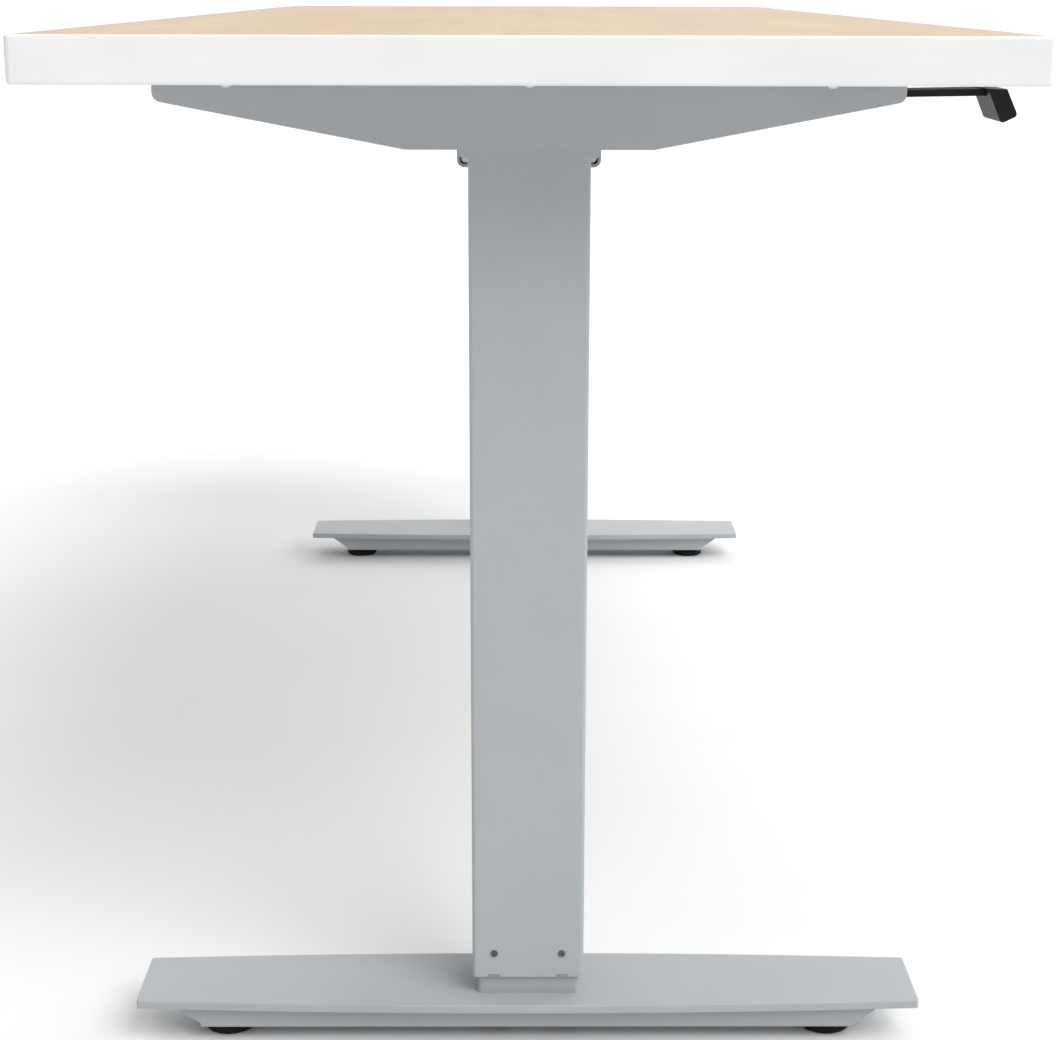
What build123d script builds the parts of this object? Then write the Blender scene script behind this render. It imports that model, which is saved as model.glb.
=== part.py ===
"""Electric height adjustable desk at its lowest height, drawn in millimetres.

+X runs along the desk to the user's right, -Y is the user's side and +Z is up.
The origin is on the floor under the middle of the desktop.
"""

from build123d import *
import math
import os

os.makedirs("parts", exist_ok=True)

# ---------------------------------------------------------------- driving dimensions
DESK_L = 1524.0          # desktop along X
DESK_W = 610.0           # desktop along Y
TOP_T = 28.6             # desktop thickness
TOP_H = 705.0            # working surface above the floor, at rest
UNDER = TOP_H - TOP_T    # underside of the desktop
LAMINATE_T = 1.0
BACKER_T = 0.8
BAND_T = 3.0             # edge band thickness
BAND_R = 2.0             # its rounded long edges

LEG_X = 628.5            # column centre from the middle of the desk
OUTER_X, OUTER_Y, OUTER_R = 50.0, 79.0, 3.0
INNER_X, INNER_Y, INNER_R = 43.0, 72.0, 3.0
TUBE_WALL = 1.5
OUTER_Z0, OUTER_Z1 = 49.4, 626.0
INNER_Z1 = 588.0
HEAD_T = 12.0            # plate welded into the head of the outer tube
RUN_GAP = 0.3            # glide collars to the tube that they run on

FOOT_PLATE_T = 6.0
FOOT_Z1 = 35.0           # top of the foot plate
FOOT_Z0 = 10.5           # bottom of the foot channel
FOOT_HALF_L = 278.5
FOOT_TIP_HALF_W = 33.0
FOOT_MID_HALF_W = 40.3
CHANNEL_HALF_W = 28.0
CHANNEL_HALF_TOP = 254.0
CHANNEL_HALF_BOTTOM = 234.0
CHANNEL_T = 2.5
BASE_T = 10.0            # plate welded into the bottom of the inner tube
FOOT_BOLT_X, FOOT_BOLT_Y = 24.0, 48.0

LEVELER_Y = 216.5
LEVELER_R = 19.0
LEVELER_H = 10.0
STUD_R = 3.95
STUD_NUT_R = 4.0

SPINDLE_R = 7.0
JOURNAL_R = 5.95
BEARING_R, BEARING_T = 14.0, 8.0
NUT_R = 7.06

RAIL_W, RAIL_T, RAIL_Z0 = 91.0, 2.0, 626.0
RAIL_X_OUT, RAIL_X_IN = 656.0, 360.0
RAIL_R, RAIL_END_T = 4.0, 1.4
BAR_W, BAR_T, BAR_Z0 = 97.5, 2.0, 613.5
BAR_X = 577.0
FRAME_Z1 = UNDER - 2.5   # top edges of the channels
RAIL_BOLT_X = (395.0, 480.0)
RAIL_BOLT_Z = 650.0

ARM_T = 2.5
ARM_HALF_L = 238.7
ARM_TIP_H = 14.5
ARM_HALF_FLAT = 79.2
ARM_H = 44.8
ARM_FLANGE = 25.0
ARM_RETURN = 14.0
ARM_SCREW_Y = (-189.0, 0.0, 189.0)
ARM_SCREW_X = 671.5

HEAD_BOLT_X, HEAD_BOLT_Y = 32.0, 60.0
MOTOR_R, MOTOR_L, MOTOR_Y, MOTOR_Z = 20.5, 92.0, 20.0, 651.0

BOX_L, BOX_W, BOX_H = 300.0, 104.0, 40.0
BOX_Y0 = 96.0            # front wall of the control box
BOX_WALL = 2.2
BOX_SPLIT = UNDER - 14.0

PIVOT_X, PIVOT_Y, PIVOT_Z = -618.0, -195.0, 665.0
PIN_R = 2.5
LEVER_W, LEVER_T = 30.0, 4.4
LEVER_SLOPE = 1.0        # degrees, rising to the front

LEAD_R = 2.6
PADDLE_LEAD_R = 2.0
LEAD_Z = 666.0
PADDLE_LEAD_Z = 670.0

SIDES = (("left", -1), ("right", 1))


def write_part(shape, name):
    """Label one finished piece and write its STEP file."""
    shape.label = name
    export_step(shape, f"parts/{name}.step")


def channel_profile(width, wall, z0, z1, radius):
    """An open-topped U section in the current YZ sketch, with rounded lower corners."""
    half = (width - wall) / 2
    floor = z0 + wall / 2
    with BuildLine() as middle:
        FilletPolyline((-half, z1), (-half, floor), (half, floor), (half, z1), radius=radius - wall / 2)
    trace(middle.line, line_width=wall)


# ---------------------------------------------------------------- desktop
inside_l = DESK_L - 2 * BAND_T
inside_w = DESK_W - 2 * BAND_T
box_screw_points = [
    (sx * (BOX_L / 2 + 9.0), BOX_Y0 + sy) for sx in (-1, 1) for sy in (18.0, BOX_W - 18.0)
]
paddle_screw_points = [(PIVOT_X, -139.0)]
arm_screw_points = [(sx * ARM_SCREW_X, y) for sx in (-1, 1) for y in ARM_SCREW_Y]
PILOT_R = 2.1
PILOT_DEPTH = 17.0
ear_screw_points = box_screw_points + paddle_screw_points
pilot_points = ear_screw_points + arm_screw_points

with BuildPart() as desktop_core:
    with BuildSketch(Plane.XY.offset(UNDER + BACKER_T)):
        Rectangle(inside_l, inside_w)
    extrude(amount=TOP_T - BACKER_T - LAMINATE_T)
    with BuildSketch(Plane.XY.offset(UNDER + BACKER_T)):
        with Locations(pilot_points):
            Circle(PILOT_R)
    extrude(amount=PILOT_DEPTH, mode=Mode.SUBTRACT)
write_part(desktop_core.part, "desktop_core")

with BuildPart() as desktop_laminate:
    with BuildSketch(Plane.XY.offset(TOP_H - LAMINATE_T)):
        Rectangle(inside_l, inside_w)
    extrude(amount=LAMINATE_T)
write_part(desktop_laminate.part, "desktop_laminate")

with BuildPart() as desktop_backer:
    with BuildSketch(Plane.XY.offset(UNDER)):
        Rectangle(inside_l, inside_w)
        with Locations(pilot_points):
            Circle(PILOT_R, mode=Mode.SUBTRACT)
    extrude(amount=BACKER_T)
write_part(desktop_backer.part, "desktop_backer")

with BuildPart() as edge_band:
    with BuildSketch(Plane.XY.offset(UNDER)):
        RectangleRounded(DESK_L, DESK_W, 4.0)
    extrude(amount=TOP_T)
    fillet(edge_band.edges().group_by(Axis.Z)[-1], BAND_R)
    fillet(edge_band.edges().group_by(Axis.Z)[0], BAND_R)
    with BuildSketch(Plane.XY.offset(UNDER)):
        Rectangle(inside_l, inside_w)
    extrude(amount=TOP_T, mode=Mode.SUBTRACT)
write_part(edge_band.part, "edge_band")

# ---------------------------------------------------------------- side arms
tip_z = UNDER - ARM_TIP_H
arm_low_z = UNDER - ARM_H
arm_outline = [
    (-ARM_HALF_L, UNDER),
    (ARM_HALF_L, UNDER),
    (ARM_HALF_L, tip_z),
    (ARM_HALF_FLAT, arm_low_z),
    (-ARM_HALF_FLAT, arm_low_z),
    (-ARM_HALF_L, tip_z),
]
ARM_TIP_R = 6.0
lip_y0 = RAIL_W / 2 + 5.0
lip_y1 = ARM_HALF_L - 9.0
arm_slope = (tip_z - arm_low_z) / (ARM_HALF_L - ARM_HALF_FLAT)
lip_end_z = arm_low_z + (lip_y1 - ARM_HALF_FLAT) * arm_slope
lip_outline = [
    (lip_y0, arm_low_z),
    (ARM_HALF_FLAT, arm_low_z),
    (lip_y1, lip_end_z),
    (lip_y1, lip_end_z + ARM_T),
    (ARM_HALF_FLAT, arm_low_z + ARM_T),
    (lip_y0, arm_low_z + ARM_T),
]

for side, sx in SIDES:
    inner_face = sx * RAIL_X_OUT
    outward = sx * ARM_T
    with BuildPart() as arm:
        # upright web
        with BuildSketch(Plane.YZ.offset(inner_face)):
            Polygon(*arm_outline, align=None)
            fillet(vertices().group_by(Axis.Y)[1], ARM_TIP_R)
        extrude(amount=outward)
        # return lips along the lower edge, turned towards the middle of the desk
        with BuildSketch(Plane.YZ.offset(inner_face)):
            Polygon(*lip_outline, align=None)
            mirror(about=Plane.YZ)
        extrude(amount=-sx * ARM_RETURN)
        # flange turned outwards under the desktop, with clearance holes for its screws
        with BuildSketch(Plane.XY.offset(UNDER - ARM_T)):
            with Locations((sx * (RAIL_X_OUT + ARM_T + ARM_FLANGE / 2), 0)):
                flange = Rectangle(ARM_FLANGE, 2 * ARM_HALF_L)
                fillet(flange.vertices().group_by(Axis.X)[0 if sx < 0 else -1], 6.0)
            with Locations([(sx * ARM_SCREW_X, y) for y in ARM_SCREW_Y]):
                Circle(2.4, mode=Mode.SUBTRACT)
        extrude(amount=ARM_T)
    write_part(arm.part, f"{side}_arm")

PAN_R, PAN_H = 4.3, 3.4
with BuildPart() as arm_screws:
    with BuildSketch(Plane.XY.offset(UNDER - ARM_T)):
        with Locations(arm_screw_points):
            Circle(PAN_R)
    extrude(amount=-PAN_H)
    fillet(arm_screws.edges().group_by(Axis.Z)[0], 1.8)
    with BuildSketch(Plane.XY.offset(UNDER - ARM_T - PAN_H)):
        with Locations(arm_screw_points):
            Rectangle(4.4, 1.0)
            Rectangle(1.0, 4.4)
    extrude(amount=1.6, mode=Mode.SUBTRACT)
    with BuildSketch(Plane.XY.offset(UNDER - ARM_T)):
        with Locations(arm_screw_points):
            Circle(PILOT_R - 0.05)
    extrude(amount=ARM_T + 17.0)
write_part(arm_screws.part, "arm_screws")

# ---------------------------------------------------------------- crossbar
head_bolt_offsets = [(dx * HEAD_BOLT_X / 2, dy * HEAD_BOLT_Y / 2) for dx in (-1, 1) for dy in (-1, 1)]
SPINDLE_HOLE_R = 10.0

for side, sx in SIDES:
    rail_start = sx * RAIL_X_OUT
    with BuildPart() as end_rail:
        with BuildSketch(Plane.YZ.offset(rail_start)):
            channel_profile(RAIL_W, RAIL_T, RAIL_Z0, FRAME_Z1, RAIL_R)
        extrude(amount=-sx * (RAIL_X_OUT - RAIL_X_IN))
        # thin wall that closes the outer end, against the arm
        with BuildSketch(Plane.YZ.offset(rail_start)):
            with Locations((0, (RAIL_Z0 + FRAME_Z1) / 2)):
                end_wall = Rectangle(RAIL_W, FRAME_Z1 - RAIL_Z0)
            fillet(end_wall.vertices().group_by(Axis.Y)[0], RAIL_R)
        extrude(amount=-sx * RAIL_END_T)
        with BuildSketch(Plane.XY.offset(RAIL_Z0)):
            with Locations((sx * LEG_X, 0)):
                Circle(SPINDLE_HOLE_R)
                with Locations(head_bolt_offsets):
                    Circle(3.3)
        extrude(amount=RAIL_T, mode=Mode.SUBTRACT)
        with BuildSketch(Plane.XZ.offset(-RAIL_W / 2)):
            with Locations([(sx * x, RAIL_BOLT_Z) for x in RAIL_BOLT_X]):
                Circle(3.1)
        extrude(amount=RAIL_W, mode=Mode.SUBTRACT)
    write_part(end_rail.part, f"{side}_end_rail")

MOTOR_LEAD_X = 110.0     # where the motor leads turn back towards the control box
PADDLE_LEAD_X = -60.0
NOTCH_W = 14.0
with BuildPart() as crossbar:
    with BuildSketch(Plane.YZ.offset(-BAR_X)):
        channel_profile(BAR_W, BAR_T, BAR_Z0, FRAME_Z1, 5.0)
    extrude(amount=2 * BAR_X)
    # bolt holes through both walls at each end
    with BuildSketch(Plane.XZ.offset(-BAR_W / 2)):
        with Locations([(sx * x, RAIL_BOLT_Z) for sx in (-1, 1) for x in RAIL_BOLT_X]):
            Circle(3.3)
    extrude(amount=BAR_W, mode=Mode.SUBTRACT)
    # open notches in the top edges for the leads
    rear_wall = BAR_W / 2 - BAR_T / 2
    with BuildSketch(Plane.XY.offset(FRAME_Z1)):
        with Locations((-MOTOR_LEAD_X, rear_wall), (MOTOR_LEAD_X, rear_wall)):
            Rectangle(NOTCH_W, 2 * BAR_T)
        with Locations((PADDLE_LEAD_X, rear_wall), (PADDLE_LEAD_X, -rear_wall)):
            Rectangle(NOTCH_W, 2 * BAR_T)
    extrude(amount=-14.0, mode=Mode.SUBTRACT)
write_part(crossbar.part, "crossbar")

SPACER_L, SPACER_W, SPACER_R = 18.0, 12.0, 3.0
SPACER_CHAMFER = 2.6
SPACER_GAP = 0.5
spacer_z0 = BAR_Z0 + BAR_T
with BuildPart() as crossbar_spacers:
    for x in (BAR_X - SPACER_L / 2, RAIL_X_IN + SPACER_L):
        for y in (-1, 1):
            spacer_y = y * (BAR_W / 2 - BAR_T - SPACER_GAP - SPACER_W / 2)
            for sx in (-1, 1):
                with BuildSketch(Plane.XY.offset(spacer_z0)):
                    with Locations((sx * x, spacer_y)):
                        RectangleRounded(SPACER_L, SPACER_W, SPACER_R)
                extrude(amount=RAIL_Z0 - spacer_z0)
    chamfer(crossbar_spacers.edges().group_by(Axis.Z)[0], SPACER_CHAMFER)
write_part(crossbar_spacers.part, "crossbar_spacers")

rail_bolt_points = [(sx * x, RAIL_BOLT_Z) for sx in (-1, 1) for x in RAIL_BOLT_X]
RAIL_BOLT_LEN = 12.0
with BuildPart() as rail_bolts:
    for sy in (-1, 1):
        wall_plane = Plane.XZ.offset(-sy * BAR_W / 2)
        with BuildSketch(wall_plane):
            with Locations(rail_bolt_points):
                Circle(5.5)
        extrude(amount=-sy * 3.2)
        with BuildSketch(wall_plane):
            with Locations(rail_bolt_points):
                Circle(3.0)
        extrude(amount=sy * RAIL_BOLT_LEN)
    heads = rail_bolts.faces().filter_by(Axis.Y).group_by(Axis.Y)
    fillet(heads[0].edges() + heads[-1].edges(), 1.4)
    for sy in (-1, 1):
        with BuildSketch(Plane.XZ.offset(-sy * (BAR_W / 2 + 3.2))):
            with Locations(rail_bolt_points):
                RegularPolygon(2.4, 6)
        extrude(amount=sy * 2.0, mode=Mode.SUBTRACT)
write_part(rail_bolts.part, "rail_bolts")

# ---------------------------------------------------------------- columns
TAB_W, TAB_H, TAB_Y = 8.8, 2.0, 24.3
GLIDE_SCREW_Y, GLIDE_SCREW_Z = 24.0, 67.7
LOWER_GLIDE_H = 34.0
UPPER_GLIDE_H = 30.0
glide_tabs = [(-TAB_Y, OUTER_Z0 + TAB_H / 2), (TAB_Y, OUTER_Z0 + TAB_H / 2)]
glide_screw_points = [(-GLIDE_SCREW_Y, GLIDE_SCREW_Z), (GLIDE_SCREW_Y, GLIDE_SCREW_Z)]

for side, sx in SIDES:
    cx = sx * LEG_X
    with BuildPart() as outer_tube:
        with BuildSketch(Plane.XY.offset(OUTER_Z0)):
            with Locations((cx, 0)):
                RectangleRounded(OUTER_X, OUTER_Y, OUTER_R)
                RectangleRounded(
                    OUTER_X - 2 * TUBE_WALL, OUTER_Y - 2 * TUBE_WALL, OUTER_R - TUBE_WALL, mode=Mode.SUBTRACT
                )
        extrude(amount=OUTER_Z1 - OUTER_Z0)
        # head plate: bearing seat below, spindle hole through, threaded bolt holes
        with BuildSketch(Plane.XY.offset(OUTER_Z1 - HEAD_T)):
            with Locations((cx, 0)):
                RectangleRounded(OUTER_X - TUBE_WALL, OUTER_Y - TUBE_WALL, OUTER_R - TUBE_WALL / 2)
                Circle(SPINDLE_HOLE_R, mode=Mode.SUBTRACT)
                with Locations(head_bolt_offsets):
                    Circle(3.05, mode=Mode.SUBTRACT)
        extrude(amount=HEAD_T)
        with BuildSketch(Plane.XY.offset(OUTER_Z1 - HEAD_T)):
            with Locations((cx, 0)):
                Circle(BEARING_R + 0.02)
        extrude(amount=BEARING_T, mode=Mode.SUBTRACT)
        # notches in the lower edge and screw holes, on the two broad faces
        with BuildSketch(Plane.YZ.offset(cx - OUTER_X / 2)):
            with Locations(glide_tabs):
                Rectangle(TAB_W, TAB_H)
            with Locations(glide_screw_points):
                Circle(1.7)
        extrude(amount=OUTER_X, mode=Mode.SUBTRACT)
    write_part(outer_tube.part, f"{side}_outer_tube")

    with BuildPart() as lower_glides:
        with BuildSketch(Plane.XY.offset(OUTER_Z0 + 0.2)):
            with Locations((cx, 0)):
                RectangleRounded(
                    OUTER_X - 2 * TUBE_WALL - 0.1, OUTER_Y - 2 * TUBE_WALL - 0.1, OUTER_R - TUBE_WALL
                )
                RectangleRounded(
                    INNER_X + 2 * RUN_GAP, INNER_Y + 2 * RUN_GAP, INNER_R + RUN_GAP, mode=Mode.SUBTRACT
                )
        extrude(amount=LOWER_GLIDE_H)
        with BuildSketch(Plane.YZ.offset(cx - OUTER_X / 2)):
            with Locations(glide_tabs):
                Rectangle(TAB_W - 0.2, TAB_H - 0.4)
        extrude(amount=TUBE_WALL + 0.5)
        with BuildSketch(Plane.YZ.offset(cx + OUTER_X / 2)):
            with Locations(glide_tabs):
                Rectangle(TAB_W - 0.2, TAB_H - 0.4)
        extrude(amount=-TUBE_WALL - 0.5)
        with BuildSketch(Plane.YZ.offset(cx - OUTER_X / 2)):
            with Locations(glide_screw_points):
                Circle(1.5)
        extrude(amount=OUTER_X, mode=Mode.SUBTRACT)
    write_part(lower_glides.part, f"{side}_lower_glides")

    with BuildPart() as inner_tube:
        with BuildSketch(Plane.XY.offset(FOOT_Z1)):
            with Locations((cx, 0)):
                RectangleRounded(INNER_X, INNER_Y, INNER_R)
                RectangleRounded(
                    INNER_X - 2 * TUBE_WALL, INNER_Y - 2 * TUBE_WALL, INNER_R - TUBE_WALL, mode=Mode.SUBTRACT
                )
        extrude(amount=INNER_Z1 - FOOT_Z1)
        with BuildSketch(Plane.XY.offset(FOOT_Z1)):
            with Locations((cx, 0)):
                RectangleRounded(INNER_X - TUBE_WALL, INNER_Y - TUBE_WALL, INNER_R - TUBE_WALL / 2)
                with GridLocations(FOOT_BOLT_X, FOOT_BOLT_Y, 2, 2):
                    Circle(4.05, mode=Mode.SUBTRACT)
        extrude(amount=BASE_T)
    write_part(inner_tube.part, f"{side}_inner_tube")

    with BuildPart() as upper_glides:
        with BuildSketch(Plane.XY.offset(INNER_Z1 - UPPER_GLIDE_H)):
            with Locations((cx, 0)):
                RectangleRounded(
                    OUTER_X - 2 * TUBE_WALL - 2 * RUN_GAP,
                    OUTER_Y - 2 * TUBE_WALL - 2 * RUN_GAP,
                    OUTER_R - TUBE_WALL,
                )
                RectangleRounded(INNER_X + 0.1, INNER_Y + 0.1, INNER_R, mode=Mode.SUBTRACT)
        extrude(amount=UPPER_GLIDE_H)
    write_part(upper_glides.part, f"{side}_upper_glides")

    NUT_H, NUT_FLANGE = 40.0, 4.0
    with BuildPart() as spindle_nut:
        with BuildSketch(Plane.XY.offset(INNER_Z1 - NUT_H)):
            with Locations((cx, 0)):
                RectangleRounded(
                    INNER_X - 2 * TUBE_WALL - 0.1, INNER_Y - 2 * TUBE_WALL - 0.1, INNER_R - TUBE_WALL
                )
        extrude(amount=NUT_H)
        with BuildSketch(Plane.XY.offset(INNER_Z1)):
            with Locations((cx, 0)):
                RectangleRounded(INNER_X, INNER_Y, INNER_R)
        extrude(amount=NUT_FLANGE)
        with BuildSketch(Plane.XY.offset(INNER_Z1 - NUT_H)):
            with Locations((cx, 0)):
                Circle(NUT_R)
        extrude(amount=NUT_H + NUT_FLANGE, mode=Mode.SUBTRACT)
    write_part(spindle_nut.part, f"{side}_spindle_nut")

    bearing_z0 = OUTER_Z1 - HEAD_T
    with BuildPart() as spindle:
        with BuildSketch(Plane.XY.offset(60.0)):
            with Locations((cx, 0)):
                Circle(SPINDLE_R)
        extrude(amount=bearing_z0 - 3.0 - 60.0)
        with BuildSketch(Plane.XY.offset(bearing_z0 - 3.0)):
            with Locations((cx, 0)):
                Circle(JOURNAL_R)
        extrude(amount=40.0)
        chamfer(spindle.edges().group_by(Axis.Z)[0], 1.5)
        chamfer(spindle.edges().group_by(Axis.Z)[-1], 0.8)
    write_part(spindle.part, f"{side}_spindle")

    with BuildPart() as spindle_bearing:
        with BuildSketch(Plane.XY.offset(bearing_z0)):
            with Locations((cx, 0)):
                Circle(BEARING_R)
                Circle(6.0, mode=Mode.SUBTRACT)
        extrude(amount=BEARING_T)
    write_part(spindle_bearing.part, f"{side}_spindle_bearing")

    # gearbox on the floor of the end rail, over the column head
    gear_z0 = RAIL_Z0 + RAIL_T
    FLANGE_H = 8.0
    with BuildPart() as gearbox:
        with BuildSketch(Plane.XY.offset(gear_z0)):
            with Locations((cx, 0)):
                RectangleRounded(52.0, 76.0, 6.0)
        extrude(amount=FLANGE_H)
        with BuildSketch(Plane.XY.offset(gear_z0)):
            with Locations((cx, 0)):
                Circle(22.0)
        extrude(amount=40.0)
        with BuildSketch(Plane.YZ.offset(cx - sx * 32.0)):
            with Locations((MOTOR_Y, MOTOR_Z)):
                Circle(15.0)
        extrude(amount=sx * 50.0)
        with BuildSketch(Plane.YZ.offset(cx - sx * 32.0)):
            with Locations((MOTOR_Y, MOTOR_Z)):
                RectangleRounded(40.0, 36.0, 6.0)
        extrude(amount=sx * 5.0)
        with BuildSketch(Plane.XY.offset(gear_z0)):
            with Locations((cx, 0)):
                Circle(8.0)
        extrude(amount=27.0, mode=Mode.SUBTRACT)
        with BuildSketch(Plane.XY.offset(gear_z0)):
            with Locations((cx, 0)):
                with Locations(head_bolt_offsets):
                    Circle(3.3)
        extrude(amount=FLANGE_H, mode=Mode.SUBTRACT)
        # room above the flange for the bolt heads and a driver
        with BuildSketch(Plane.XY.offset(gear_z0 + FLANGE_H)):
            with Locations((cx, 0)):
                with Locations(head_bolt_offsets):
                    Circle(6.2)
        extrude(amount=40.0, mode=Mode.SUBTRACT)
    write_part(gearbox.part, f"{side}_gearbox")

    motor_x0 = cx - sx * 32.0
    with BuildPart() as motor:
        with BuildSketch(Plane.YZ.offset(motor_x0)):
            with Locations((MOTOR_Y, MOTOR_Z)):
                Circle(MOTOR_R)
        extrude(amount=-sx * MOTOR_L)
        chamfer(motor.edges().group_by(Axis.X)[-1 if sx < 0 else 0], 1.5)
        with BuildSketch(Plane.YZ.offset(motor_x0 - sx * MOTOR_L)):
            with Locations((MOTOR_Y, MOTOR_Z)):
                Circle(7.0)
        extrude(amount=-sx * 4.0)
    write_part(motor.part, f"{side}_motor")

    with BuildPart() as head_bolts:
        with BuildSketch(Plane.XY.offset(gear_z0 + FLANGE_H)):
            with Locations((cx, 0)):
                with Locations(head_bolt_offsets):
                    Circle(5.0)
        extrude(amount=6.0)
        with BuildSketch(Plane.XY.offset(gear_z0 + FLANGE_H + 3.0)):
            with Locations((cx, 0)):
                with Locations(head_bolt_offsets):
                    RegularPolygon(2.8, 6)
        extrude(amount=3.0, mode=Mode.SUBTRACT)
        with BuildSketch(Plane.XY.offset(OUTER_Z1 - HEAD_T)):
            with Locations((cx, 0)):
                with Locations(head_bolt_offsets):
                    Circle(3.0)
        extrude(amount=HEAD_T + RAIL_T + FLANGE_H)
    write_part(head_bolts.part, f"{side}_head_bolts")

with BuildPart() as glide_screws:
    for cx in (-LEG_X, LEG_X):
        for sx in (-1, 1):
            face_x = cx + sx * OUTER_X / 2
            with BuildSketch(Plane.YZ.offset(face_x)):
                with Locations(glide_screw_points):
                    Circle(2.5)
            extrude(amount=sx * 1.1)
            with BuildSketch(Plane.YZ.offset(face_x + sx * 1.1)):
                with Locations(glide_screw_points):
                    Rectangle(2.4, 0.6)
                    Rectangle(0.6, 2.4)
            extrude(amount=-sx * 0.7, mode=Mode.SUBTRACT)
            with BuildSketch(Plane.YZ.offset(face_x)):
                with Locations(glide_screw_points):
                    Circle(1.45)
            extrude(amount=-sx * 2.8)
write_part(glide_screws.part, "glide_screws")

# ---------------------------------------------------------------- feet
for side, sx in SIDES:
    cx = sx * LEG_X
    plate_z0 = FOOT_Z1 - FOOT_PLATE_T
    with BuildPart() as foot_plate:
        with BuildSketch(Plane.XY.offset(plate_z0)):
            with BuildLine():
                near = ThreePointArc(
                    (cx - FOOT_TIP_HALF_W, -FOOT_HALF_L),
                    (cx - FOOT_MID_HALF_W, 0),
                    (cx - FOOT_TIP_HALF_W, FOOT_HALF_L),
                )
                Line(near @ 1, (cx + FOOT_TIP_HALF_W, FOOT_HALF_L))
                far = ThreePointArc(
                    (cx + FOOT_TIP_HALF_W, FOOT_HALF_L),
                    (cx + FOOT_MID_HALF_W, 0),
                    (cx + FOOT_TIP_HALF_W, -FOOT_HALF_L),
                )
                Line(far @ 1, near @ 0)
            make_face()
            fillet(vertices(), 2.5)
        extrude(amount=FOOT_PLATE_T)
        fillet(foot_plate.edges().group_by(Axis.Z)[-1], 1.0)
        with BuildSketch(Plane.XY.offset(plate_z0)):
            with Locations((cx, 0)):
                with GridLocations(FOOT_BOLT_X, FOOT_BOLT_Y, 2, 2):
                    Circle(4.3)
        extrude(amount=FOOT_PLATE_T, mode=Mode.SUBTRACT)
    write_part(foot_plate.part, f"{side}_foot_plate")

    lip_z = FOOT_Z0 + 4.0
    tray_outline = [
        (-CHANNEL_HALF_TOP, plate_z0),
        (CHANNEL_HALF_TOP, plate_z0),
        (CHANNEL_HALF_BOTTOM, lip_z),
        (CHANNEL_HALF_BOTTOM, FOOT_Z0),
        (-CHANNEL_HALF_BOTTOM, FOOT_Z0),
        (-CHANNEL_HALF_BOTTOM, lip_z),
    ]
    hollow_outline = [
        (-CHANNEL_HALF_TOP + 2 * CHANNEL_T, plate_z0),
        (CHANNEL_HALF_TOP - 2 * CHANNEL_T, plate_z0),
        (CHANNEL_HALF_BOTTOM - CHANNEL_T, lip_z),
        (CHANNEL_HALF_BOTTOM - CHANNEL_T, FOOT_Z0 + CHANNEL_T),
        (-CHANNEL_HALF_BOTTOM + CHANNEL_T, FOOT_Z0 + CHANNEL_T),
        (-CHANNEL_HALF_BOTTOM + CHANNEL_T, lip_z),
    ]
    with BuildPart() as foot_channel:
        with BuildSketch(Plane.YZ.offset(cx - CHANNEL_HALF_W)):
            Polygon(*tray_outline, align=None)
        extrude(amount=2 * CHANNEL_HALF_W)
        long_edges = foot_channel.edges().filter_by(Axis.Y).group_by(Axis.Z)[0]
        fillet(long_edges, 3.0)
        with BuildSketch(Plane.YZ.offset(cx - CHANNEL_HALF_W + CHANNEL_T)):
            Polygon(*hollow_outline, align=None)
        extrude(amount=2 * (CHANNEL_HALF_W - CHANNEL_T), mode=Mode.SUBTRACT)
        with BuildSketch(Plane.XY.offset(FOOT_Z0)):
            with Locations((cx, -LEVELER_Y), (cx, LEVELER_Y)):
                Circle(4.6)
            with Locations((cx, 0)):
                with GridLocations(FOOT_BOLT_X, FOOT_BOLT_Y, 2, 2):
                    Circle(8.0)
        extrude(amount=CHANNEL_T, mode=Mode.SUBTRACT)
    write_part(foot_channel.part, f"{side}_foot_channel")

    with BuildPart() as foot_bolts:
        with BuildSketch(Plane.XY.offset(plate_z0)):
            with Locations((cx, 0)):
                with GridLocations(FOOT_BOLT_X, FOOT_BOLT_Y, 2, 2):
                    Circle(6.5)
        extrude(amount=-6.5)
        with BuildSketch(Plane.XY.offset(plate_z0 - 6.5)):
            with Locations((cx, 0)):
                with GridLocations(FOOT_BOLT_X, FOOT_BOLT_Y, 2, 2):
                    RegularPolygon(3.4, 6)
        extrude(amount=3.5, mode=Mode.SUBTRACT)
        with BuildSketch(Plane.XY.offset(plate_z0)):
            with Locations((cx, 0)):
                with GridLocations(FOOT_BOLT_X, FOOT_BOLT_Y, 2, 2):
                    Circle(4.0)
        extrude(amount=FOOT_PLATE_T + BASE_T + 2.0)
    write_part(foot_bolts.part, f"{side}_foot_bolts")

    with BuildPart() as weld_nuts:
        with BuildSketch(Plane.XY.offset(FOOT_Z0 + CHANNEL_T)):
            with Locations((cx, -LEVELER_Y), (cx, LEVELER_Y)):
                RegularPolygon(7.5, 6)
                Circle(STUD_NUT_R, mode=Mode.SUBTRACT)
        extrude(amount=7.0)
    write_part(weld_nuts.part, f"{side}_weld_nuts")

    for end, sy in (("front", -1), ("rear", 1)):
        with BuildPart() as leveler:
            with BuildSketch(Plane.XY):
                with Locations((cx, sy * LEVELER_Y)):
                    Circle(LEVELER_R)
            extrude(amount=LEVELER_H - 3.0)
            fillet(leveler.edges().group_by(Axis.Z)[0], 1.2)
            fillet(leveler.edges().group_by(Axis.Z)[-1], 2.0)
            with BuildSketch(Plane.XY.offset(LEVELER_H - 3.0)):
                with Locations((cx, sy * LEVELER_Y)):
                    RegularPolygon(9.0, 6)
            extrude(amount=3.0)
            with BuildSketch(Plane.XY.offset(LEVELER_H)):
                with Locations((cx, sy * LEVELER_Y)):
                    Circle(STUD_R)
            extrude(amount=17.0)
        write_part(leveler.part, f"{side}_{end}_leveler")

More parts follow.
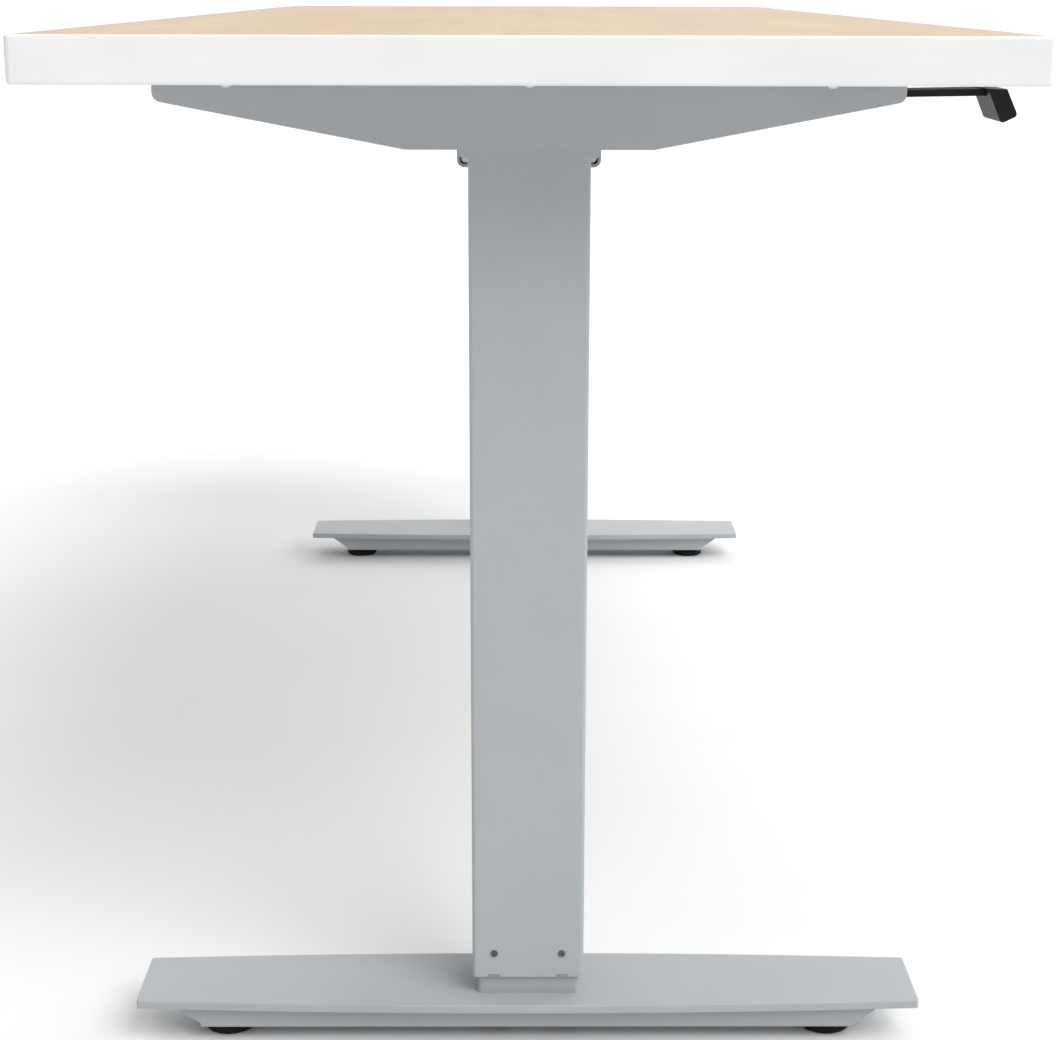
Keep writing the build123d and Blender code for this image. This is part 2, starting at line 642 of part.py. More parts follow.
# ---------------------------------------------------------------- control box
box_x0 = -BOX_L / 2
box_mid_y = BOX_Y0 + BOX_W / 2
box_z0 = UNDER - BOX_H
EAR_L, EAR_T = 18.0, 3.0
ear_points = [(sx * (BOX_L / 2 + EAR_L / 2), BOX_Y0 + y) for sx in (-1, 1) for y in (18.0, BOX_W - 18.0)]
INLET_Y = BOX_Y0 + 52.0
INLET_Z = UNDER - 20.0

with BuildPart() as control_box_base:
    with BuildSketch(Plane.XY.offset(BOX_SPLIT)):
        with Locations((0, box_mid_y)):
            RectangleRounded(BOX_L, BOX_W, 6.0)
            RectangleRounded(BOX_L - 2 * BOX_WALL, BOX_W - 2 * BOX_WALL, 4.0, mode=Mode.SUBTRACT)
    extrude(amount=UNDER - BOX_SPLIT)
    with BuildSketch(Plane.XY.offset(UNDER - BOX_WALL)):
        with Locations((0, box_mid_y)):
            RectangleRounded(BOX_L - BOX_WALL, BOX_W - BOX_WALL, 5.0)
    extrude(amount=BOX_WALL)
    with BuildSketch(Plane.XY.offset(UNDER - EAR_T)):
        with Locations(ear_points):
            RectangleRounded(EAR_L + 6.0, 16.0, 4.0)
        with Locations(box_screw_points):
            Circle(2.4, mode=Mode.SUBTRACT)
    extrude(amount=EAR_T)
    # holes for the three leads, in the front wall
    with BuildSketch(Plane.XZ.offset(-BOX_Y0)):
        with Locations((-MOTOR_LEAD_X, LEAD_Z), (MOTOR_LEAD_X, LEAD_Z)):
            Circle(LEAD_R + 0.1)
        with Locations((PADDLE_LEAD_X, PADDLE_LEAD_Z)):
            Circle(PADDLE_LEAD_R + 0.1)
    extrude(amount=-BOX_WALL, mode=Mode.SUBTRACT)
    # upper part of the inlet's opening
    with BuildSketch(Plane.YZ.offset(box_x0)):
        with Locations((INLET_Y, INLET_Z)):
            Rectangle(28.0, 22.0)
    extrude(amount=BOX_WALL + 0.01, mode=Mode.SUBTRACT)
write_part(control_box_base.part, "control_box_base")

with BuildPart() as control_box_lid:
    with BuildSketch(Plane.XY.offset(box_z0)):
        with Locations((0, box_mid_y)):
            RectangleRounded(BOX_L, BOX_W, 6.0)
    extrude(amount=BOX_SPLIT - box_z0)
    fillet(control_box_lid.edges().group_by(Axis.Z)[0], 3.0)
    with BuildSketch(Plane.XY.offset(box_z0 + BOX_WALL)):
        with Locations((0, box_mid_y)):
            RectangleRounded(BOX_L - 2 * BOX_WALL, BOX_W - 2 * BOX_WALL, 4.0)
    extrude(amount=BOX_SPLIT - box_z0 - BOX_WALL, mode=Mode.SUBTRACT)
    with BuildSketch(Plane.YZ.offset(box_x0)):
        with Locations((INLET_Y, INLET_Z)):
            Rectangle(28.0, 22.0)
    extrude(amount=BOX_WALL + 0.01, mode=Mode.SUBTRACT)
    # cooling slots in the floor of the lid
    with BuildSketch(Plane.XY.offset(box_z0)):
        with Locations((70.0, box_mid_y)):
            with GridLocations(9.0, 1.0, 9, 1):
                SlotOverall(56.0, 3.0, rotation=90)
    extrude(amount=BOX_WALL, mode=Mode.SUBTRACT)
write_part(control_box_lid.part, "control_box_lid")

with BuildPart() as mains_inlet:
    with BuildSketch(Plane.YZ.offset(box_x0 - 2.0)):
        with Locations((INLET_Y, INLET_Z)):
            RectangleRounded(32.0, 26.0, 3.0)
    extrude(amount=2.0)
    with BuildSketch(Plane.YZ.offset(box_x0)):
        with Locations((INLET_Y, INLET_Z)):
            Rectangle(27.6, 21.6)
    extrude(amount=18.0)
    with BuildSketch(Plane.YZ.offset(box_x0 - 2.0)):
        with Locations((INLET_Y, INLET_Z)):
            socket = Rectangle(24.2, 17.0)
            chamfer(socket.vertices().group_by(Axis.Y)[-1], 4.5)
    extrude(amount=16.0, mode=Mode.SUBTRACT)
    pins = [(INLET_Y - 7.0, INLET_Z - 1.5), (INLET_Y, INLET_Z + 2.5), (INLET_Y + 7.0, INLET_Z - 1.5)]
    with BuildSketch(Plane.YZ.offset(box_x0 + 2.0)):
        with Locations(pins):
            Rectangle(2.0, 4.0)
    extrude(amount=12.0)
write_part(mains_inlet.part, "mains_inlet")

board_z = box_z0 + 12.0
with BuildPart() as control_board:
    with BuildSketch(Plane.XY.offset(board_z)):
        with Locations((12.0, box_mid_y)):
            Rectangle(250.0, 88.0)
    extrude(amount=1.6)
    with BuildSketch(Plane.XY.offset(board_z + 1.6)):
        with Locations((-60.0, box_mid_y + 10.0)):
            Rectangle(42.0, 36.0)
        with Locations((20.0, box_mid_y - 22.0), (44.0, box_mid_y - 22.0), (68.0, box_mid_y - 22.0)):
            Circle(8.0)
        with Locations((60.0, box_mid_y + 20.0)):
            Rectangle(60.0, 14.0)
    extrude(amount=15.0)
write_part(control_board.part, "control_board")

# the same screw holds the control box's ears and the paddle housing's
with BuildPart() as ear_screws:
    with BuildSketch(Plane.XY.offset(UNDER - EAR_T)):
        with Locations(ear_screw_points):
            Circle(4.0)
    extrude(amount=-2.8)
    fillet(ear_screws.edges().group_by(Axis.Z)[0], 1.2)
    with BuildSketch(Plane.XY.offset(UNDER - EAR_T)):
        with Locations(ear_screw_points):
            Circle(PILOT_R - 0.05)
    extrude(amount=EAR_T + 14.0)
write_part(ear_screws.part, "ear_screws")

# ---------------------------------------------------------------- paddle control
HOUSING_W = 44.0
HOUSING_X0 = PIVOT_X - HOUSING_W / 2
HOUSING_Y0, HOUSING_Y1 = -215.0, -150.0
HOUSING_Z0 = UNDER - 18.0
HOUSING_WALL = 2.0
housing_mid_y = (HOUSING_Y0 + HOUSING_Y1) / 2
housing_len = HOUSING_Y1 - HOUSING_Y0

with BuildPart() as paddle_housing:
    with BuildSketch(Plane.XY.offset(HOUSING_Z0)):
        with Locations((PIVOT_X, housing_mid_y)):
            RectangleRounded(HOUSING_W, housing_len, 4.0)
    extrude(amount=UNDER - HOUSING_Z0)
    fillet(paddle_housing.edges().group_by(Axis.Z)[0], 1.5)
    with BuildSketch(Plane.XY.offset(HOUSING_Z0 + HOUSING_WALL)):
        with Locations((PIVOT_X, housing_mid_y)):
            Rectangle(HOUSING_W - 2 * HOUSING_WALL, housing_len - 2 * HOUSING_WALL)
    extrude(amount=UNDER - HOUSING_Z0 - HOUSING_WALL, mode=Mode.SUBTRACT)
    # slot for the lever in the front wall
    with BuildSketch(Plane.XY.offset(HOUSING_Z0 + HOUSING_WALL)):
        with Locations((PIVOT_X, HOUSING_Y0)):
            Rectangle(LEVER_W + 3.0, 3 * HOUSING_WALL)
    extrude(amount=11.0, mode=Mode.SUBTRACT)
    # screw ear at the back
    with BuildSketch(Plane.XY.offset(UNDER - 3.0)):
        with Locations((PIVOT_X, HOUSING_Y1 + 8.0)):
            RectangleRounded(22.0, 24.0, 5.0)
        with Locations(paddle_screw_points):
            Circle(2.4, mode=Mode.SUBTRACT)
        with Locations((PIVOT_X, housing_mid_y)):
            Rectangle(HOUSING_W - 2 * HOUSING_WALL, housing_len - 2 * HOUSING_WALL, mode=Mode.SUBTRACT)
    extrude(amount=3.0)
    # pin bores in the side walls, and the lead's hole towards the middle of the desk
    with BuildSketch(Plane.YZ.offset(HOUSING_X0)):
        with Locations((PIVOT_Y, PIVOT_Z)):
            Circle(PIN_R + 0.02)
    extrude(amount=HOUSING_W, mode=Mode.SUBTRACT)
    with BuildSketch(Plane.YZ.offset(HOUSING_X0 + HOUSING_W)):
        with Locations((HOUSING_Y1 - 12.0, PADDLE_LEAD_Z)):
            Circle(PADDLE_LEAD_R + 0.1)
    extrude(amount=-HOUSING_WALL, mode=Mode.SUBTRACT)
write_part(paddle_housing.part, "paddle_housing")

with BuildPart() as paddle_pin:
    with BuildSketch(Plane.YZ.offset(HOUSING_X0)):
        with Locations((PIVOT_Y, PIVOT_Z)):
            Circle(PIN_R)
    extrude(amount=HOUSING_W)
write_part(paddle_pin.part, "paddle_pin")

rise = math.tan(math.radians(LEVER_SLOPE))
TAIL = 34.0              # lever behind the pivot
GRIP_ROOT_Y = -297.0     # where the lever meets the grip
TAIL_T = 2.6


def lever_z(y):
    """Height of the lever's middle plane at y."""
    return PIVOT_Z + (PIVOT_Y - y) * rise


lever_outline = [
    (PIVOT_Y + TAIL, lever_z(PIVOT_Y + TAIL) - TAIL_T / 2),
    (PIVOT_Y, lever_z(PIVOT_Y) - LEVER_T / 2),
    (GRIP_ROOT_Y, lever_z(GRIP_ROOT_Y) - LEVER_T / 2),
    (GRIP_ROOT_Y, lever_z(GRIP_ROOT_Y) + LEVER_T / 2),
    (PIVOT_Y, lever_z(PIVOT_Y) + LEVER_T / 2),
    (PIVOT_Y + TAIL, lever_z(PIVOT_Y + TAIL) + TAIL_T / 2),
]
# the grip is a thick tilted slab, drawn by its four corners in side view
grip_outline = [
    (-293.0, 669.4),
    (-305.2, 669.4),
    (-313.0, 652.6),
    (-302.4, 647.6),
]
GRIP_W = 48.0

with BuildPart() as paddle_lever:
    with BuildSketch(Plane.YZ.offset(PIVOT_X - LEVER_W / 2)):
        Polygon(*lever_outline, align=None)
        with Locations((PIVOT_Y, PIVOT_Z)):
            Circle(4.4)
    extrude(amount=LEVER_W)
    with BuildSketch(Plane.YZ.offset(PIVOT_X - LEVER_W / 2)):
        with Locations((PIVOT_Y, PIVOT_Z)):
            Circle(PIN_R + 0.06)
    extrude(amount=LEVER_W, mode=Mode.SUBTRACT)
    # the tongue is let into the grip
    with BuildSketch(Plane.YZ.offset(PIVOT_X - LEVER_W / 2)):
        Polygon(*grip_outline, align=None)
    extrude(amount=LEVER_W, mode=Mode.SUBTRACT)
write_part(paddle_lever.part, "paddle_lever")

with BuildPart() as paddle_grip:
    with BuildSketch(Plane.YZ.offset(PIVOT_X - GRIP_W / 2 - 3.0)):
        Polygon(*grip_outline, align=None)
        fillet(vertices().group_by(Axis.Y)[0], 2.4)
        fillet(vertices().sort_by(Axis.X)[0], 2.4)
    extrude(amount=GRIP_W)
write_part(paddle_grip.part, "paddle_grip")

COIL_TURNS, COIL_PITCH, COIL_R, COIL_WIRE = 2.5, 1.2, 3.7, 0.45
coil_x0 = PIVOT_X + LEVER_W / 2 + 0.7
with BuildPart() as paddle_spring:
    with BuildLine() as coil_path:
        Helix(
            pitch=COIL_PITCH,
            height=COIL_TURNS * COIL_PITCH,
            radius=COIL_R,
            center=(coil_x0, PIVOT_Y, PIVOT_Z),
            direction=(1, 0, 0),
        )
    with BuildSketch(Plane(origin=coil_path.line @ 0, z_dir=coil_path.line % 0)):
        Circle(COIL_WIRE)
    sweep(path=coil_path.line)
write_part(paddle_spring.part, "paddle_spring")

with BuildPart() as paddle_switches:
    with BuildSketch(Plane.XY.offset(PIVOT_Z + 3.6)):
        with Locations((PIVOT_X - 8.0, -168.0), (PIVOT_X + 8.0, -168.0)):
            Rectangle(12.0, 12.0)
    extrude(amount=UNDER - 2.0 - PIVOT_Z - 3.6)
    with BuildSketch(Plane.XY.offset(UNDER - 2.0)):
        with Locations((PIVOT_X, -168.0)):
            Rectangle(34.0, 24.0)
    extrude(amount=1.6)
write_part(paddle_switches.part, "paddle_switches")

# ---------------------------------------------------------------- leads and their clips
MOTOR_LEAD_BEND = 30.0
for side, sx in SIDES:
    motor_end = sx * (LEG_X - 32.0 - MOTOR_L)
    with BuildPart() as motor_lead:
        with BuildLine() as lead_path:
            FilletPolyline(
                (motor_end, MOTOR_Y, LEAD_Z),
                (sx * MOTOR_LEAD_X, MOTOR_Y, LEAD_Z),
                (sx * MOTOR_LEAD_X, BOX_Y0 + BOX_WALL, LEAD_Z),
                radius=MOTOR_LEAD_BEND,
            )
        with BuildSketch(Plane(origin=lead_path.line @ 0, z_dir=lead_path.line % 0)):
            Circle(LEAD_R)
        sweep(path=lead_path.line)
    write_part(motor_lead.part, f"{side}_motor_lead")

PADDLE_LEAD_Y = HOUSING_Y1 - 12.0
with BuildPart() as paddle_lead:
    with BuildLine() as lead_path:
        FilletPolyline(
            (HOUSING_X0 + HOUSING_W - HOUSING_WALL, PADDLE_LEAD_Y, PADDLE_LEAD_Z),
            (PADDLE_LEAD_X, PADDLE_LEAD_Y, PADDLE_LEAD_Z),
            (PADDLE_LEAD_X, BOX_Y0 + BOX_WALL, PADDLE_LEAD_Z),
            radius=60.0,
        )
    with BuildSketch(Plane(origin=lead_path.line @ 0, z_dir=lead_path.line % 0)):
        Circle(PADDLE_LEAD_R)
    sweep(path=lead_path.line)
write_part(paddle_lead.part, "paddle_lead")

# adhesive-backed saddles that hold each lead up against the desktop
CLIP_L, CLIP_W = 12.0, 12.0
clip_places = [(sx * x, MOTOR_Y, LEAD_Z, LEAD_R) for sx in (-1, 1) for x in (180.0, 300.0, 430.0)]
clip_places += [(x, PADDLE_LEAD_Y, PADDLE_LEAD_Z, PADDLE_LEAD_R) for x in (-520.0, -380.0, -240.0, -140.0)]
with BuildPart() as lead_clips:
    for x, y, z, r in clip_places:
        low = z - r - 1.6
        with BuildSketch(Plane.XY.offset(low)):
            with Locations((x, y)):
                RectangleRounded(CLIP_L, CLIP_W, 2.0)
        extrude(amount=UNDER - low)
        with BuildSketch(Plane.YZ.offset(x - CLIP_L / 2)):
            with Locations((y, z)):
                Circle(r + 0.05)
        extrude(amount=CLIP_L, mode=Mode.SUBTRACT)
write_part(lead_clips.part, "lead_clips")
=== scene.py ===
import bpy
import bmesh
import math
from mathutils import Matrix, Vector


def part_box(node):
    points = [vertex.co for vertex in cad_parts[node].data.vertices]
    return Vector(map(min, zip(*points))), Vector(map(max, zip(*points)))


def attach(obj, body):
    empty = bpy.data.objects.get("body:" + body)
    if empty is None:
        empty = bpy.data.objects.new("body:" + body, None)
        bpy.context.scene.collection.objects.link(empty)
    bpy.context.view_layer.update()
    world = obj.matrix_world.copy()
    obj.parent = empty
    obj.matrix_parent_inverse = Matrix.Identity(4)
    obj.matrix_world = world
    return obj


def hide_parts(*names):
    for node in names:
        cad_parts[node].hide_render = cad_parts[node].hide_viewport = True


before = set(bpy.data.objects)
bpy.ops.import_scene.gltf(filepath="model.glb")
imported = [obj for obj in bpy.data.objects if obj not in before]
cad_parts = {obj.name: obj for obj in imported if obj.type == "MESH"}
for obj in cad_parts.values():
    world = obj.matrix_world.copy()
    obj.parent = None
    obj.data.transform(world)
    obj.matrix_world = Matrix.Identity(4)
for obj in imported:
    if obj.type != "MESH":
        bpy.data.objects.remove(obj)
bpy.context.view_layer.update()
MM = 0.001

# ---------------------------------------------------------------- the view
# The camera stands level with the desktop off its left end, looks along the whole length of the
# desk and a little down, and sees the near leg square on with the far foot beyond it.
CAMERA_AT = Vector((-1.9564, 0.0056, 0.7340))
LOOKS_DOWN = math.radians(14.93)
TURNED_RIGHT = math.radians(0.34)
LEANS = math.radians(0.13)
LENS_MM = 68.1

eye = bpy.data.objects.new("camera", bpy.data.cameras.new("camera"))
bpy.context.scene.collection.objects.link(eye)
eye.data.lens = LENS_MM
eye.data.sensor_width = 36.0
eye.data.sensor_fit = "HORIZONTAL"
sight = Vector((
    math.cos(LOOKS_DOWN) * math.cos(TURNED_RIGHT),
    -math.cos(LOOKS_DOWN) * math.sin(TURNED_RIGHT),
    -math.sin(LOOKS_DOWN),
))
level = sight.cross(Vector((0, 0, 1))).normalized()
upright = level.cross(sight)
across = level * math.cos(LEANS) + upright * math.sin(LEANS)
overhead = upright * math.cos(LEANS) - level * math.sin(LEANS)
eye.matrix_world = Matrix((across, overhead, -sight)).transposed().to_4x4()
eye.location = CAMERA_AT
bpy.context.scene.camera = eye

# ---------------------------------------------------------------- floor and studio light
# A plain pale floor in a white studio that is brightest high up beyond the desk on the user's side
# and dimmer round the camera, with one soft lamp above the camera on the user's side.
FLOOR_HALF = 400.0
SKY_DIM, SKY_BRIGHT = 0.30, 1.50
SKY_BRIGHTEST_AT = Vector((0.50, -0.40, 0.77)).normalized()
LAMP_POWER = 1.85
LAMP_SPREAD = math.radians(40)
LAMP_FROM = Vector((-0.72, -0.62, 1.0))

bpy.context.scene.view_settings.view_transform = "Standard"


def node(tree, kind, inputs=None, **settings):
    """One node of a tree. Each input is a value, a socket, or a node whose first output feeds it."""
    made = tree.nodes.new(kind)
    for setting, value in settings.items():
        setattr(made, setting, value)
    for key, value in (inputs or {}).items():
        if isinstance(value, bpy.types.Node):
            value = next(socket for socket in value.outputs if socket.enabled)
        if isinstance(value, bpy.types.NodeSocket):
            tree.links.new(value, made.inputs[key])
        else:
            made.inputs[key].default_value = value
    return made


def new_material(name, roughness, metallic=0.0):
    """A material with its shader and the place on the piece that patterns are drawn from."""
    material = bpy.data.materials.new(name)
    material.use_nodes = True
    tree = material.node_tree
    shader = tree.nodes["Principled BSDF"]
    shader.inputs["Roughness"].default_value = roughness
    shader.inputs["Metallic"].default_value = metallic
    place = node(tree, "ShaderNodeTexCoord").outputs["Object"]
    return material, tree, shader, place


def noise(tree, place, scale, detail=2.0, stretch=(1.0, 1.0, 1.0)):
    """Soft noise with so many features a metre, drawn out where stretch is under 1."""
    drawn = node(tree, "ShaderNodeMapping", {"Vector": place, "Scale": stretch})
    return node(tree, "ShaderNodeTexNoise", {"Vector": drawn, "Scale": scale, "Detail": detail})


def blend_colours(tree, factor, low, high, spread=(0.35, 0.65)):
    """Runs from one colour to the other as the factor crosses the spread."""
    ramp = node(tree, "ShaderNodeValToRGB", {"Fac": factor})
    ramp.color_ramp.elements[0].position = spread[0]
    ramp.color_ramp.elements[1].position = spread[1]
    ramp.color_ramp.elements[0].color = (*low, 1.0)
    ramp.color_ramp.elements[1].color = (*high, 1.0)
    return ramp


sky = bpy.data.worlds.new("studio_sky")
sky.use_nodes = True
bpy.context.scene.world = sky
tree = sky.node_tree
ray = node(tree, "ShaderNodeTexCoord")
nearness = node(tree, "ShaderNodeVectorMath", {0: ray, 1: SKY_BRIGHTEST_AT}, operation="DOT_PRODUCT")
glow = node(tree, "ShaderNodeMapRange", {
    "Value": nearness.outputs["Value"], "To Min": SKY_DIM, "To Max": SKY_BRIGHT,
})
tree.links.new(glow.outputs[0], tree.nodes["Background"].inputs["Strength"])
tree.nodes["Background"].inputs["Color"].default_value = (1.0, 1.0, 1.0, 1.0)

lamp = bpy.data.objects.new("soft_lamp", bpy.data.lights.new("soft_lamp", "SUN"))
lamp.data.energy = LAMP_POWER
lamp.data.angle = LAMP_SPREAD
lamp.rotation_euler = LAMP_FROM.to_track_quat("Z", "Y").to_euler()
bpy.context.scene.collection.objects.link(lamp)

floor_mesh = bpy.data.meshes.new("floor")
floor_mesh.from_pydata(
    [(-FLOOR_HALF, -FLOOR_HALF, 0), (FLOOR_HALF, -FLOOR_HALF, 0),
     (FLOOR_HALF, FLOOR_HALF, 0), (-FLOOR_HALF, FLOOR_HALF, 0)],
    [], [(0, 1, 2, 3)],
)
floor = bpy.data.objects.new("floor", floor_mesh)
bpy.context.scene.collection.objects.link(floor)
pale_floor, tree, shader, place = new_material("pale_floor", 0.85)
dust = noise(tree, place, 3.0, 4.0)
tint = blend_colours(tree, dust, (0.83, 0.83, 0.83), (0.85, 0.85, 0.85))
tree.links.new(tint.outputs[0], shader.inputs["Base Color"])
shader.inputs["Specular IOR Level"].default_value = 0.1
floor_mesh.materials.append(pale_floor)

# ---------------------------------------------------------------- levelling glides
# Each foot stands on two moulded nylon glides with a fluted rim and a hexagon to turn them by.
# A zinc plated M8 stud is moulded into each one and screws up into a nut welded in the foot.


def finish(material, *names):
    """Gives CAD nodes their finish."""
    for name in names:
        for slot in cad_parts[name].material_slots:
            slot.material = material


def vary(tree, shader, socket, factor, low, high):
    """Lets a shader's number wander between two values with the factor."""
    wander = node(tree, "ShaderNodeMapRange", {"Value": factor, "To Min": low, "To Max": high})
    tree.links.new(wander.outputs[0], shader.inputs[socket])


def roughen(tree, shader, height, depth, strength=1.0):
    """Adds a bump of that depth in metres."""
    bump = node(tree, "ShaderNodeBump", {"Height": height, "Distance": depth, "Strength": strength})
    tree.links.new(bump.outputs[0], shader.inputs["Normal"])


def moulded_plastic(
    name, dark, light, roughness, texture_depth=0.00002, texture_scale=1500.0, gloss=0.5
):
    """Injection moulded plastic with a fine spark-eroded skin and faint flow marks."""
    material, tree, shader, place = new_material(name, roughness)
    flow = noise(tree, place, 30.0, 4.0, (1.0, 0.4, 1.0))
    skin = noise(tree, place, texture_scale, 3.0)
    tint = blend_colours(tree, flow, dark, light)
    tree.links.new(tint.outputs[0], shader.inputs["Base Color"])
    vary(tree, shader, "Roughness", flow, roughness - 0.06, roughness + 0.06)
    roughen(tree, shader, skin, texture_depth, 0.6)
    shader.inputs["Specular IOR Level"].default_value = gloss
    return material


def plated_steel(name, dark, light, roughness, drawn=(1.0, 1.0, 1.0)):
    """Steel with a thin plating: cloudy colour, and fine marks drawn out one way."""
    material, tree, shader, place = new_material(name, roughness, 1.0)
    cloud = noise(tree, place, 160.0, 4.0)
    marks = noise(tree, place, 1800.0, 2.0, drawn)
    tint = blend_colours(tree, cloud, dark, light)
    tree.links.new(tint.outputs[0], shader.inputs["Base Color"])
    vary(tree, shader, "Roughness", cloud, roughness - 0.08, roughness + 0.1)
    roughen(tree, shader, marks, 0.00001, 0.5)
    return material


black_nylon = moulded_plastic(
    "black_nylon", (0.004, 0.004, 0.0045), (0.008, 0.008, 0.0085), 0.46, 0.00002, 1500.0, 0.25
)
zinc_plate = plated_steel("zinc_plate", (0.50, 0.52, 0.55), (0.68, 0.69, 0.68), 0.34)


def new_shape(name, sizes):
    """An empty tree of geometry nodes with a named input for the places and for each size."""
    tree = bpy.data.node_groups.new(name, "GeometryNodeTree")
    tree.interface.new_socket("Places", in_out="INPUT", socket_type="NodeSocketGeometry")
    for label, value in sizes.items():
        kind = "NodeSocketInt" if isinstance(value, int) else "NodeSocketFloat"
        tree.interface.new_socket(label, in_out="INPUT", socket_type=kind).default_value = value
    tree.interface.new_socket("Shape", in_out="OUTPUT", socket_type="NodeSocketGeometry")
    return tree, tree.nodes.new("NodeGroupInput").outputs


def times(tree, a, b):
    return node(tree, "ShaderNodeMath", {0: a, 1: b}, operation="MULTIPLY")


def moved(tree, shape, z=0.0, wide=1.0, tall=1.0):
    """The shape scaled across and along its axis, then shifted along it."""
    size = node(tree, "ShaderNodeCombineXYZ", {"X": wide, "Y": wide, "Z": tall})
    shift = node(tree, "ShaderNodeCombineXYZ", {"Z": z})
    return node(tree, "GeometryNodeTransform", {"Geometry": shape, "Translation": shift, "Scale": size})


def joined(tree, *shapes):
    join = node(tree, "GeometryNodeJoinGeometry")
    for shape in shapes:
        tree.links.new(next(s for s in shape.outputs if s.enabled), join.inputs[0])
    return join


def turned(tree, stations, sides=32):
    """A turned solid about Z: (height, radius) stations from its lower end to its upper one."""
    rings = []
    for (low, wide), (high, wide_above) in zip(stations, stations[1:]):
        sizes = {"Vertices": sides, "Radius Bottom": wide, "Radius Top": wide_above, "Depth": high - low}
        ring = node(tree, "GeometryNodeMeshCone", sizes, fill_type="NONE")
        rings.append(moved(tree, ring, z=low))
    stack = joined(tree, *rings)
    return node(tree, "GeometryNodeMergeByDistance", {"Geometry": stack, "Distance": 0.01 * MM})


def prism(tree, sides, radius, depth, top):
    """A solid with flat sides whose upper end is at that height."""
    sizes = {"Vertices": sides, "Radius": radius, "Depth": depth}
    bar = node(tree, "GeometryNodeMeshCylinder", sizes, fill_type="NGON")
    half = times(tree, depth, -0.5)
    return moved(tree, bar, z=node(tree, "ShaderNodeMath", {0: half, 1: top}, operation="ADD"))


def thread(tree, radius, length, pitch):
    """A ridge that winds down from the origin round a shank, as deep as a third of its pitch."""
    turns = node(tree, "ShaderNodeMath", {0: length, 1: pitch}, operation="DIVIDE")
    coil = node(tree, "GeometryNodeCurveSpiral", {
        "Resolution": 14, "Rotations": turns, "Start Radius": radius, "End Radius": radius, "Height": length,
    })
    ridge_r = times(tree, pitch, 0.4)
    ridge = node(tree, "GeometryNodeCurvePrimitiveCircle", {"Resolution": 3, "Radius": ridge_r})
    wound = node(tree, "GeometryNodeCurveToMesh", {"Curve": coil, "Profile Curve": ridge, "Fill Caps": True})
    return moved(tree, wound, z=times(tree, length, -1.0))


def painted(tree, shape, material):
    return node(tree, "GeometryNodeSetMaterial", {"Geometry": shape, "Material": material})


def set_out(tree, given, shape, spin_seed=None):
    """Puts the shape at each place with its Z along that place's facing, and ends the tree."""
    facing = node(tree, "GeometryNodeInputNamedAttribute", {"Name": "facing"}, data_type="FLOAT_VECTOR")
    aligned = node(tree, "FunctionNodeAlignRotationToVector", {"Vector": facing}, axis="Z")
    if spin_seed is not None:
        spin = node(tree, "FunctionNodeRandomValue", {"Min": 0.0, "Max": math.tau, "Seed": spin_seed})
        twist = node(tree, "FunctionNodeAxisAngleToRotation", {"Axis": (0, 0, 1), "Angle": spin.outputs[1]})
        both = {"Rotation": aligned, "Rotate By": twist}
        aligned = node(tree, "FunctionNodeRotateRotation", both, rotation_space="LOCAL")
    points = node(tree, "GeometryNodeMeshToPoints", {"Mesh": given["Places"]})
    copies = node(
        tree, "GeometryNodeInstanceOnPoints", {"Points": points, "Instance": shape, "Rotation": aligned}
    )
    end_shape(tree, copies)


def end_shape(tree, shape):
    real = node(tree, "GeometryNodeRealizeInstances", {"Geometry": shape})
    node(tree, "NodeGroupOutput", {"Shape": real})


def grown(name, tree, sizes, places):
    """The plain mesh that a tree makes from its sizes at (point, facing) places."""
    mesh = bpy.data.meshes.new(name)
    mesh.from_pydata([point for point, facing in places], [], [])
    facings = mesh.attributes.new("facing", "FLOAT_VECTOR", "POINT")
    for entry, (point, facing) in zip(facings.data, places):
        entry.vector = facing
    piece = bpy.data.objects.new(name, mesh)
    bpy.context.scene.collection.objects.link(piece)
    growth = piece.modifiers.new("growth", "NODES")
    growth.node_group = tree
    for socket in tree.interface.items_tree:
        if socket.in_out == "INPUT" and socket.name in sizes:
            growth[socket.identifier] = sizes[socket.name]
    bpy.context.view_layer.update()
    settled = piece.evaluated_get(bpy.context.evaluated_depsgraph_get())
    piece.data = bpy.data.meshes.new_from_object(settled)
    piece.modifiers.remove(growth)
    piece.data.shade_smooth()
    piece.data.set_sharp_from_angle(angle=math.radians(35))
    return piece


def on_axis(low, high, z):
    """The point at that height on the upright axis of a box."""
    return Vector(((low.x + high.x) / 2, (low.y + high.y) / 2, z))


def fit(piece, body, slot, *nodes):
    """The piece rides its body and stands for those CAD nodes. The slot is not used."""
    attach(piece, body)
    if nodes:
        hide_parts(*nodes)


UP, DOWN = (0, 0, 1), (0, 0, -1)
glide_tree, given = new_shape("levelling_glide", {
    "Rim radius": 19.0 * MM, "Pad height": 7.0 * MM, "Hexagon radius": 9.0 * MM,
    "Hexagon height": 3.0 * MM, "Stud radius": 3.9 * MM, "Stud length": 17.0 * MM,
    "Stud pitch": 1.25 * MM, "Flutes": 36,
})
pad = turned(glide_tree, [(0, 0), (0, 0.90), (0.06, 0.945), (0.17, 0.968), (0.72, 0.968), (0.9, 0.93),
                          (1, 0.86), (1, 0)], 72)
pad = moved(glide_tree, pad, wide=given["Rim radius"], tall=given["Pad height"])
ring = node(glide_tree, "GeometryNodeMeshCircle", {
    "Vertices": given["Flutes"], "Radius": times(glide_tree, given["Rim radius"], 0.965),
})
flute = turned(glide_tree, [(0.2, 0), (0.3, 1), (0.62, 1), (0.75, 0)], 8)
flute = moved(glide_tree, flute, wide=times(glide_tree, given["Rim radius"], 0.034), tall=given["Pad height"])
flutes = node(glide_tree, "GeometryNodeInstanceOnPoints", {"Points": ring, "Instance": flute})
